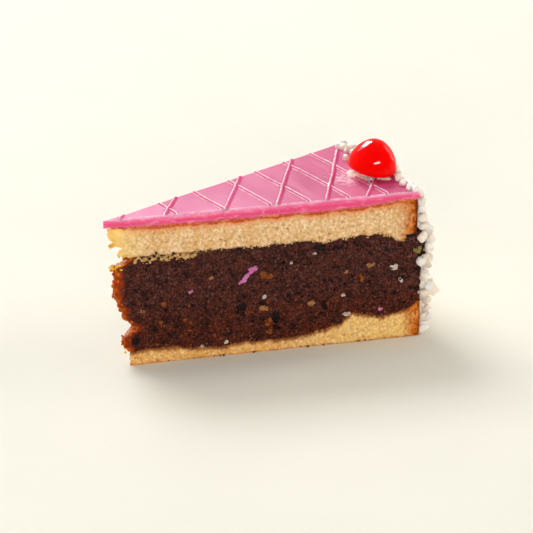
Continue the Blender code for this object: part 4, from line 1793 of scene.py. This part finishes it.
    def make_nibs(self) -> Object:
        """Build all nibs of the coat as one piece, with none inside the cherry.

        Returns:
            The new piece.
        """
        generator = np.random.default_rng(self.seed)
        groups = [make(generator) for make in (self.wall_nibs, self.edge_nibs, self.border_nibs)]
        centres, size = (np.concatenate(part) for part in zip(*groups))
        away = (centres - self.frame.cherry_middle) / self.cherry_room
        kept = (np.linalg.norm(away, axis=1) > 1) & (centres[:, 2] > self.lowest)
        centres, size = centres[kept], size[kept]
        stretch = generator.uniform(0.78, 1.18, size=(len(centres), 3))
        sizes = size[:, None] * stretch * self.nib_half * self.swelling
        lumps = Lumps(11, 16, 0.14, grain=1.0, cuts=8, depth=(0.60, 0.92), seed=5)
        return lumps.make("nibs", centres, sizes, floor=0.0)


# ---- bits in the filling and crumbs


class BitKind(Enum):
    """Kinds of small bits in the filling."""

    PINK = "pink_bits"
    PEEL = "peel_bits"
    RAISIN = "raisin_bits"
    NUT = "nut_bits"
    PALE = "pale_bits"
    GREEN = "green_nut"


BIT_FINISHES = {
    BitKind.PINK: MottledFinish("pink_bit", paint(208, 98, 158), paint(196, 132, 170), 0.55),
    BitKind.PEEL: MottledFinish("peel_bit", paint(158, 82, 22), paint(104, 46, 14), 0.42, 0.3),
    BitKind.RAISIN: MottledFinish("raisin_bit", paint(12, 6, 6), paint(34, 14, 12), 0.5, 0.0),
    BitKind.NUT: MottledFinish("nut_bit", paint(176, 122, 72), paint(124, 76, 42), 0.5),
    BitKind.PALE: MottledFinish("pale_bit", paint(226, 206, 194), paint(182, 148, 130), 0.45, 0.3),
    BitKind.GREEN: MottledFinish("green_bit", paint(158, 142, 76), paint(112, 94, 46)),
}


@dataclass(frozen=True)
class Bit:
    """One bit at a cut: its place, length, width, tilt and how proud it is, in mm and degrees."""

    along: float
    up: float
    length: float
    width: float
    tilt: float = 0.0
    proud: float = 0.45


NEAR_BITS = {
    BitKind.PINK: (
        (54.1, 29.9, 4.2, 2.1, 27), (55.6, 31.6, 2.7, 1.6, 52), (56.7, 32.8, 2.6, 1.5, 52),
        (58.8, 34.5, 4.2, 2.7, 26), (34.0, 28.2, 2.2, 1.4, 20), (110.2, 13.0, 1.8, 1.4, 0),
    ),
    BitKind.PEEL: (
        (63.0, 31.9, 4.6, 2.8, 10), (65.4, 31.0, 3.4, 2.4, 40), (22.0, 16.3, 2.2, 1.5, 50),
        (31.7, 16.6, 2.4, 1.4, 20), (102.0, 27.0, 1.6, 4.4, 10), (65.0, 12.0, 3.6, 3.4, 30),
        (66.0, 8.2, 2.6, 2.0, 0), (22.9, 23.9, 2.8, 1.6, 15),
    ),
    BitKind.RAISIN: (
        (28.7, 14.0, 4.2, 2.2, 30), (19.9, 13.7, 2.0, 1.6, 0), (25.7, 11.0, 2.2, 1.6, -30),
        (54.0, 19.2, 4.2, 4.0, 20, 0.75), (67.8, 14.0, 5.4, 3.6, -50, 0.75),
        (68.2, 9.8, 2.8, 2.2, 0, 0.7), (62.4, 20.2, 3.4, 1.5, 0), (85.4, 41.0, 5.6, 2.4, -6, 0.7),
        (93.2, 40.6, 3.6, 1.9, 0, 0.65), (87.0, 17.0, 5.0, 1.8, -60, 0.7),
        (110.0, 17.4, 2.6, 2.2, 0), (11.6, 9.4, 3.6, 3.2, 0, 0.9), (127.0, 34.6, 2.6, 2.0, 20),
        (125.0, 28.4, 2.4, 2.6, 0), (118.8, 25.2, 2.6, 1.8, 30), (124.6, 20.4, 2.6, 1.6, 20),
        (115.6, 18.9, 2.8, 1.4, -20), (121.6, 42.6, 3.0, 1.5, 20),
    ),
    BitKind.NUT: (
        (14.8, 21.8, 2.2, 1.3, -35), (106.0, 32.0, 3.8, 3.0, 10), (82.0, 18.0, 2.8, 2.4, 0),
        (62.8, 18.2, 4.8, 2.9, -8), (42.0, 33.0, 1.8, 1.4, 0), (96.0, 30.0, 2.0, 1.5, 30),
    ),
    BitKind.PALE: (
        (63.0, 22.8, 2.0, 1.5, 20), (83.4, 39.0, 2.0, 1.5, 0), (73.8, 36.0, 1.4, 0.9, 40),
        (115.8, 29.6, 4.0, 2.4, 12), (118.4, 24.4, 2.6, 1.8, -30), (95.0, 20.5, 1.9, 1.4, 0),
        (38.6, 4.9, 2.0, 1.2, 0), (47.8, 5.7, 2.0, 1.4, 30), (97.0, 12.3, 4.2, 2.2, 12, 0.6),
        (126.2, 18.4, 1.9, 1.6, 0),
    ),
    BitKind.GREEN: ((125.0, 36.5, 3.4, 2.7, 10, 0.9),),
}


@dataclass
class FillingBits:
    """Bits of fruit, nut and cake that show in the filling's faces."""

    frame: SliceFrame
    pieces: int = 6
    seed: int = 12

    def cut_frames(self, tilts: Array, side: int) -> Array:
        """Turn bits to lie in a cut face, with their axes along it, up it and out of it.

        Args:
            tilts: turn of each in the face.
            side: -1 for the near cut and 1 for the far one.

        Returns:
            Their axes as matrices, shape (count, 3, 3).
        """
        along = np.array((math.cos(HALF_ANGLE), side * math.sin(HALF_ANGLE), 0.0))
        out = np.array((-math.sin(HALF_ANGLE), side * math.cos(HALF_ANGLE), 0.0))
        up = np.array((0.0, 0.0, 1.0))
        first = np.cos(tilts)[:, None] * along + np.sin(tilts)[:, None] * up
        second = -np.sin(tilts)[:, None] * along + np.cos(tilts)[:, None] * up
        third = np.broadcast_to(out, first.shape)
        return np.stack((first, second, third), axis=-1)

    def far_bits(self, near: Sequence[Bit], generator: Generator) -> list[Bit]:
        """Draw places and tilts at the far cut for as many bits as the near one shows.

        Args:
            near: the bits at the near cut.
            generator: draws them.

        Returns:
            The bits at the far cut.
        """
        bits = []
        for bit in near:
            along, up = generator.uniform(16, 116), generator.uniform(16, 39)
            tilt = generator.uniform(-70, 70)
            bits.append(replace(bit, along=along, up=up, tilt=tilt))
        return bits

    def make(self) -> list[Object]:
        """Build one piece for each kind of bit, each bit as a few lumps side by side.

        Returns:
            The new pieces, dressed.
        """
        pieces = []
        for number, kind in enumerate(BitKind):
            generator = np.random.default_rng(self.seed + number)
            near = [Bit(*numbers) for numbers in NEAR_BITS[kind]]
            centres, sizes, frames = [], [], []
            for bits, side in ((near, -1), (self.far_bits(near, generator), 1)):
                many = np.array([astuple(bit) for bit in bits for _ in range(self.pieces)])
                along, up, length, width, tilt, proud = many.T
                count = len(many)
                tilt = tilt + generator.uniform(-18, 18, count)
                turned = self.cut_frames(np.radians(tilt), side)
                length, width = length * MM / 2, width * MM / 2
                thick = np.minimum(length, width) * 0.7
                shift = generator.uniform(-0.5, 0.5, size=(count, 2))
                sink = proud * MM - thick * generator.uniform(0.7, 1.1, count)
                middle = self.frame.on_cut(along * MM, up * MM, sink, side)
                middle += turned[:, :, 0] * (shift[:, 0] * length)[:, None]
                middle += turned[:, :, 1] * (shift[:, 1] * width)[:, None]
                share = generator.uniform(0.5, 0.8, size=(count, 3))
                centres.append(middle)
                sizes.append(np.stack((length, width, thick), axis=-1) * share)
                frames.append(turned)
            lumps = Lumps(8, 11, 0.26, grain=0.7, cuts=4, depth=(0.6, 0.95), seed=20 + number)
            parts = (np.concatenate(part) for part in (centres, sizes, frames))
            piece = lumps.make(kind.value, *parts)
            piece.data.materials.append(BIT_FINISHES[kind].make())
            pieces.append(piece)
        return pieces


class CrumbKind(Enum):
    """Kinds of loose crumbs and the finish of each."""

    SPONGE = MottledFinish("sponge_crumbs", paint(226, 184, 122), paint(176, 130, 72), 0.8)
    # gold and amber crumbs at the torn tips: partly their own colour, partly a painted glow of
    # light through them
    GOLD = MottledFinish("gold_crumbs", paint(255, 212, 100), paint(252, 170, 56), 0.5, 0.5)
    AMBER = MottledFinish("amber_crumbs", paint(222, 112, 26), paint(126, 44, 12), 0.4, 0.5)
    DARK = MottledFinish("dark_crumbs", paint(78, 40, 30), paint(40, 16, 11), 0.6)
    SOAKED = MottledFinish("soaked_crumbs", paint(150, 84, 36), paint(86, 42, 20), 0.5)
    ICING = MottledFinish("icing_crumbs", paint(232, 124, 92), paint(184, 72, 40), 0.5, 0.3)


@dataclass
class LooseCrumbs:
    """Crumbs that cling to the torn tip, to the seams and to the edges of the cuts."""

    frame: SliceFrame
    lean: float = 0.3
    seed: int = 40

    def cut_band(
        self, along: Span, height: Height, spread: float, count: int, out: Span = (-0.3, 0.15)
    ) -> Array:
        """Strew crumbs at both cuts along a height.

        Args:
            along: nearest and farthest distance from the tip, in mm.
            height: height to follow, from radius and angle.
            spread: spread of the heights about it, in mm.
            count: crumbs at each cut.
            out: least and greatest distance out of the cut, in mm.

        Returns:
            Places, shape (2 * count, 3).
        """
        generator = np.random.default_rng(self.seed + count)
        places = []
        for side in (-1, 1):
            r = generator.uniform(*along, size=count) * MM
            z = height(r, np.full(count, side * HALF_ANGLE))
            z = z + generator.normal(0, spread, size=count) * MM
            proud = generator.uniform(*out, size=count) * MM
            places.append(self.frame.on_cut(r, np.maximum(z, 0.25 * MM), proud, side))
        return np.concatenate(places)

    def tip_cluster(self, r: Span, z: Span, count: int, edge: float = 0.9) -> Array:
        """Strew crumbs across the torn tip.

        Args:
            r: least and greatest radius, in mm.
            z: least and greatest height, in mm.
            count: number of crumbs.
            edge: how near the cuts they come, where 1 is at the cuts.

        Returns:
            Places, shape (count, 3).
        """
        generator = np.random.default_rng(self.seed + 7 * count)
        share = generator.uniform(0, 1, size=(3, count))
        radius = (r[0] + (r[1] - r[0]) * share[0]) * MM
        height = (z[0] + (z[1] - z[0]) * share[1]) * MM
        angle = (share[2] * 2 - 1) * HALF_ANGLE * edge
        return self.frame.seat(radius * (1 + self.lean * share[2]), angle, height)

    def tip_edge(self, curve: Curve, count: int) -> Array:
        """Strew crumbs along the torn outline of the filling's tip.

        Args:
            curve: the outline, as heights and radii in mm.
            count: number of crumbs.

        Returns:
            Places, shape (count, 3).
        """
        generator = np.random.default_rng(self.seed + 3)
        z = generator.uniform(5.5, 41.5, size=count)
        r = eased_curve(z, curve) + generator.normal(0.1, 0.55, size=count)
        side = generator.uniform(-1, 1, size=count)
        r = np.maximum(r, 1.5) * (1 + self.lean * (side + 1) / 2)
        return self.frame.seat(r * MM, side * HALF_ANGLE * 0.95, z * MM)

    def groups(self) -> dict[CrumbKind, list[tuple[Array, Span]]]:
        """Strew the groups of crumbs of each kind.

        Returns:
            For each kind its groups: places, and least and greatest half size in mm.
        """
        band, tip, frame = self.cut_band, self.tip_cluster, self.frame

        def below(height: Height, gap: float) -> Height:
            """A height that runs a gap in mm below another."""
            return lambda r, angle: height(r, angle) - gap * MM

        def floor(r: Array, angle: Array) -> Array:
            """The height of the underside's edge."""
            return np.full(np.broadcast(r, angle).shape, 0.3 * MM)

        under, seam = frame.upper_underside, frame.icing_underside
        return {
            CrumbKind.SPONGE: [
                (band((12, 37), below(under, 1.3), 0.6, 85, (-1.2, 0.1)), (0.5, 0.95)),
                (band((40, 120), below(under, 0.2), 0.3, 36), (0.3, 0.6)),
                (band((14, 34), below(under, 1.6), 0.9, 60, (-0.9, 0.0)), (0.2, 0.4)),
            ],
            CrumbKind.GOLD: [
                (tip((5.5, 12.5), (44.6, 46.6), 34), (0.35, 0.85)),
                (tip((2.2, 4.4), (49.4, 50.8), 9), (0.4, 0.9)),
                (tip((2.2, 7.0), (39.6, 41.6), 24, 0.8), (0.35, 0.85)),
                (tip((7.0, 10.5), (5.0, 9.0), 12, 0.8), (0.35, 0.85)),
            ],
            CrumbKind.AMBER: [(self.tip_edge(FILLING_TIP, 190), (0.35, 0.85))],
            CrumbKind.DARK: [
                (band((16, 121), below(under, 0.3), 0.4, 50), (0.25, 0.55)),
                (band((13, 36), below(under, 1.9), 0.6, 40, (-0.5, 0.1)), (0.3, 0.7)),
            ],
            CrumbKind.SOAKED: [
                (band((14, 124), frame.lower_top, 0.45, 140), (0.2, 0.55)),
                (band((12, 120), floor, 0.1, 22, (0.0, 0.5)), (0.2, 0.5)),
            ],
            CrumbKind.ICING: [(band((8, 122), below(seam, 0.5), 0.35, 90), (0.2, 0.5))],
        }

    def make(self) -> list[Object]:
        """Build one piece for each kind of crumb.

        Returns:
            The new pieces, dressed.
        """
        pieces = []
        for number, (kind, groups) in enumerate(self.groups().items()):
            generator = np.random.default_rng(self.seed + 100 + number)
            centres = np.concatenate([places for places, _ in groups])
            sizes = [generator.uniform(*size, (len(places), 1)) for places, size in groups]
            stretch = generator.uniform(0.7, 1.2, size=(len(centres), 3))
            sizes = np.concatenate(sizes) * MM * stretch
            lumps = Lumps(6, 8, 0.3, cuts=4, depth=(0.6, 0.95), seed=60 + number)
            piece = lumps.make(kind.value.name, centres, sizes, floor=0.0)
            piece.data.materials.append(kind.value.make())
            pieces.append(piece)
        return pieces


# ---- stage


@dataclass(frozen=True)
class Camera:
    """A long lens that looks down on the slice at a low angle."""

    turn: float = math.radians(29.167)
    rise: float = math.radians(21.924)
    distance: float = 1.350424
    aim: Span = (105.0 * MM, 61.1 * MM)
    lens: float = 219.94
    sensor: float = 36.0

    def make(self, frame: SliceFrame) -> None:
        """Build the camera at its distance from the aim point.

        Args:
            frame: the slice's frame, from whose tip the aim point is measured.
        """
        data = bpy.data.cameras.new("camera")
        data.lens = self.lens
        data.sensor_width = self.sensor
        data.clip_end = 20.0
        item = bpy.data.objects.new("camera", data)
        level = Vector((math.sin(self.turn), math.cos(self.turn), 0.0))
        forward = level * math.cos(self.rise) - Vector((0.0, 0.0, math.sin(self.rise)))
        aim = Vector((self.aim[0] + frame.tip_x, self.aim[1], 0.0))
        item.location = aim - forward * self.distance
        item.rotation_euler = forward.to_track_quat("-Z", "Y").to_euler()
        bpy.context.scene.collection.objects.link(item)
        bpy.context.scene.camera = item


class Sees(Enum):
    """What a light is for."""

    SHADOWS = "fills shadows and doesn't show in glossy faces"
    GLOSS = "shows in glossy faces only, as a white card does"


@dataclass(frozen=True)
class SoftLight:
    """One rectangular soft light that faces the slice."""

    name: str
    direction: Triple
    distance: float
    size: Span
    power: float
    use: Sees
    colour: Colour = EVEN

    def make(self) -> None:
        """Build the light."""
        data = bpy.data.lights.new(self.name, "AREA")
        data.shape = "RECTANGLE"
        data.size, data.size_y = self.size
        data.energy = self.power
        data.color = self.colour
        item = bpy.data.objects.new(self.name, data)
        away = Vector(self.direction).normalized()
        item.location = away * self.distance + Vector((0.0, 0.0, SLICE_MIDDLE))
        item.rotation_euler = (-away).to_track_quat("-Z", "Y").to_euler()
        item.visible_glossy = self.use is not Sees.SHADOWS
        item.visible_diffuse = self.use is not Sees.GLOSS
        bpy.context.scene.collection.objects.link(item)


KEY_WAY = (-0.065, 0.74, 0.67)
WARM = (1.0, 0.94, 0.86)


@dataclass
class Stage:
    """Pale floor, soft lights and a white surround that is dimmer in front."""

    floor_size: float = 8.0
    tint: Colour = (1.0, 0.985, 0.95)
    dim: float = 0.10
    bright: float = 0.62
    lights: tuple[SoftLight, ...] = (
        SoftLight("key", KEY_WAY, 2.6, (1.6, 1.1), 35.5, Sees.SHADOWS),
        SoftLight("overhead", (-0.20, 0.10, 0.97), 2.5, (2.0, 1.5), 14.0, Sees.SHADOWS),
        SoftLight("front_fill", (-0.50, -0.85, 0.22), 3.0, (1.6, 1.2), 47.0, Sees.SHADOWS),
        SoftLight("right_fill", (0.95, -0.15, 0.22), 2.6, (1.2, 1.2), 40.0, Sees.SHADOWS, WARM),
        SoftLight("key_card", KEY_WAY, 2.4, (1.5, 1.0), 44.0, Sees.GLOSS),
        SoftLight("high_card", (0.031, 0.689, 0.724), 2.4, (0.90, 1.00), 420.0, Sees.GLOSS),
        SoftLight("front_card", (-0.08, -0.874, 0.48), 2.5, (1.25, 0.17), 90.0, Sees.GLOSS),
        SoftLight("right_card", (0.98, 0.05, 0.20), 2.5, (0.5, 2.2), 20.0, Sees.GLOSS),
    )

    def make_floor(self) -> None:
        """Build the floor, a hair under the base."""
        half = self.floor_size / 2
        corners = np.array([(x, y, -0.02 * MM) for x in (-half, half) for y in (-half, half)])
        floor = build_mesh("floor", corners, [np.array(((0, 2, 3, 1),))])
        floor.data.materials.append(FloorFinish().make())

    def make_surround(self) -> None:
        """Build the surround, which brightens from front to back."""
        world = bpy.data.worlds.new("studio")
        world.use_nodes = True
        nodes, links = world.node_tree.nodes, world.node_tree.links
        way = nodes.new("ShaderNodeTexCoord")
        parts = nodes.new("ShaderNodeSeparateXYZ")
        level = nodes.new("ShaderNodeMapRange")
        run = {"From Min": -0.5, "From Max": 0.7, "To Min": self.dim, "To Max": self.bright}
        for label, value in run.items():
            level.inputs[label].default_value = value
        background = nodes["Background"]
        background.inputs["Color"].default_value = (*self.tint, 1.0)
        links.new(way.outputs["Generated"], parts.inputs[0])
        links.new(parts.outputs["Y"], level.inputs["Value"])
        links.new(level.outputs[0], background.inputs["Strength"])
        bpy.context.scene.world = world

    def make(self) -> None:
        """Build the floor, the surround and the lights."""
        self.make_floor()
        self.make_surround()
        for light in self.lights:
            light.make()


# ---- the whole slice


class PunchCakeSlice:
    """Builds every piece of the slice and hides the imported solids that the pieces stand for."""

    def __init__(self) -> None:
        """Read the frame and start the shared finishes."""
        self.frame = SliceFrame()
        self.sheet = IcingSheet(self.frame)
        self.sponge = SpongeFinish().make()

    def place(self, piece: Object, slot: str, material: Material | None, *nodes: str) -> None:
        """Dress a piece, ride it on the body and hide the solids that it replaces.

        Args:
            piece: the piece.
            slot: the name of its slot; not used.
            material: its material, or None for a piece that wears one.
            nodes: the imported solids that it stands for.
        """
        if material is not None:
            piece.data.materials.append(material)
        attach(piece, BODY)
        if nodes:
            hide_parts(*nodes)
        LOG.info("%s: %d faces", piece.name, len(piece.data.polygons))

    def build_layers(self) -> None:
        """Build the two sponges, the filling and the seam of jam."""
        frame = self.frame
        base = SpongeLayer(
            frame, "lower_crumb", lambda r, a: np.zeros(np.broadcast(r, a).shape),
            frame.lower_top, LOWER_TIP, frame.filling_rim, rows=34, columns=390,
            torn=0.4 * MM, upper=False,
        )
        self.place(base.make(), "sponge", self.sponge, "lower_sponge")
        filling = FillingLayer(
            frame, "filling", frame.lower_top, frame.filling_top, FILLING_TIP, frame.filling_rim,
            rows=116, columns=350, tip_columns=22, rim_columns=24,
        )
        self.place(filling.make(), "filling", FillingFinish().make(), "punch_filling")
        upper = SpongeLayer(
            frame, "upper_crumb", frame.upper_underside, frame.sponge_top, UPPER_TIP,
            frame.sponge_rim, rows=50, columns=390, tip_columns=16, torn=0.5 * MM,
        )
        self.place(upper.make(), "sponge", self.sponge, "upper_sponge")
        jam = WedgeLayer(
            frame, "jam_seam", lambda r, a: frame.sponge_top(r, a) - 0.15 * MM,
            lambda r, a: frame.icing_underside(r, a) + 0.15 * MM, JAM_TIP,
            frame.sponge_rim - 0.3 * MM, rows=5, columns=260, torn=0.2 * MM,
        )
        self.place(jam.make(), "jam", JamFinish().make(), "jam_layer")

    def build_icing(self) -> None:
        """Build the icing sheet and its threads."""
        threads = IcingThreads(self.frame, self.sheet)
        self.place(self.sheet.make(), "icing", IcingFinish().make(), "icing_sheet")
        self.place(threads.make(), "icing", PipedFinish().make())

    def build_cherry(self) -> None:
        """Build the cherry and its dab of cream."""
        cherry, dab = Cherry(self.frame), CreamDab(self.frame, self.sheet)
        self.place(cherry.make(), "cherry", CherryFinish().make(), "glace_cherry")
        self.place(dab.make(), "cream", CREAM_FINISH.make(), "cherry_dab")

    def build_coat(self) -> None:
        """Build the coat's icing and its nibs."""
        coat = RimCoat(self.frame)
        pale = NibFinish("rim_icing", tan_share=0.2)
        self.place(coat.core(), "nibs", pale.make(), "rim_coat")
        self.place(coat.make_nibs(), "nibs", NibFinish().make())

    def build_bits(self) -> None:
        """Build the bits in the filling and the loose crumbs."""
        for piece in FillingBits(self.frame).make():
            self.place(piece, "filling", None)
        slots = {CrumbKind.SPONGE: "sponge", CrumbKind.GOLD: "sponge", CrumbKind.ICING: "icing"}
        for kind, piece in zip(CrumbKind, LooseCrumbs(self.frame).make()):
            self.place(piece, slots.get(kind, "filling"), None)

    def build(self) -> None:
        """Build everything in order."""
        self.build_layers()
        self.build_icing()
        self.build_cherry()
        self.build_coat()
        self.build_bits()


def main() -> None:
    """Load the frame, build the slice, the stage and the camera, and note the sizes."""
    logging.basicConfig(level=logging.INFO, format="%(name)s: %(message)s")
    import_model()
    bpy.context.scene.view_settings.view_transform = "Standard"
    slice_of_cake = PunchCakeSlice()
    slice_of_cake.build()
    Camera().make(slice_of_cake.frame)
    Stage().make()
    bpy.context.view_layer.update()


if __name__ == "__main__":
    main()
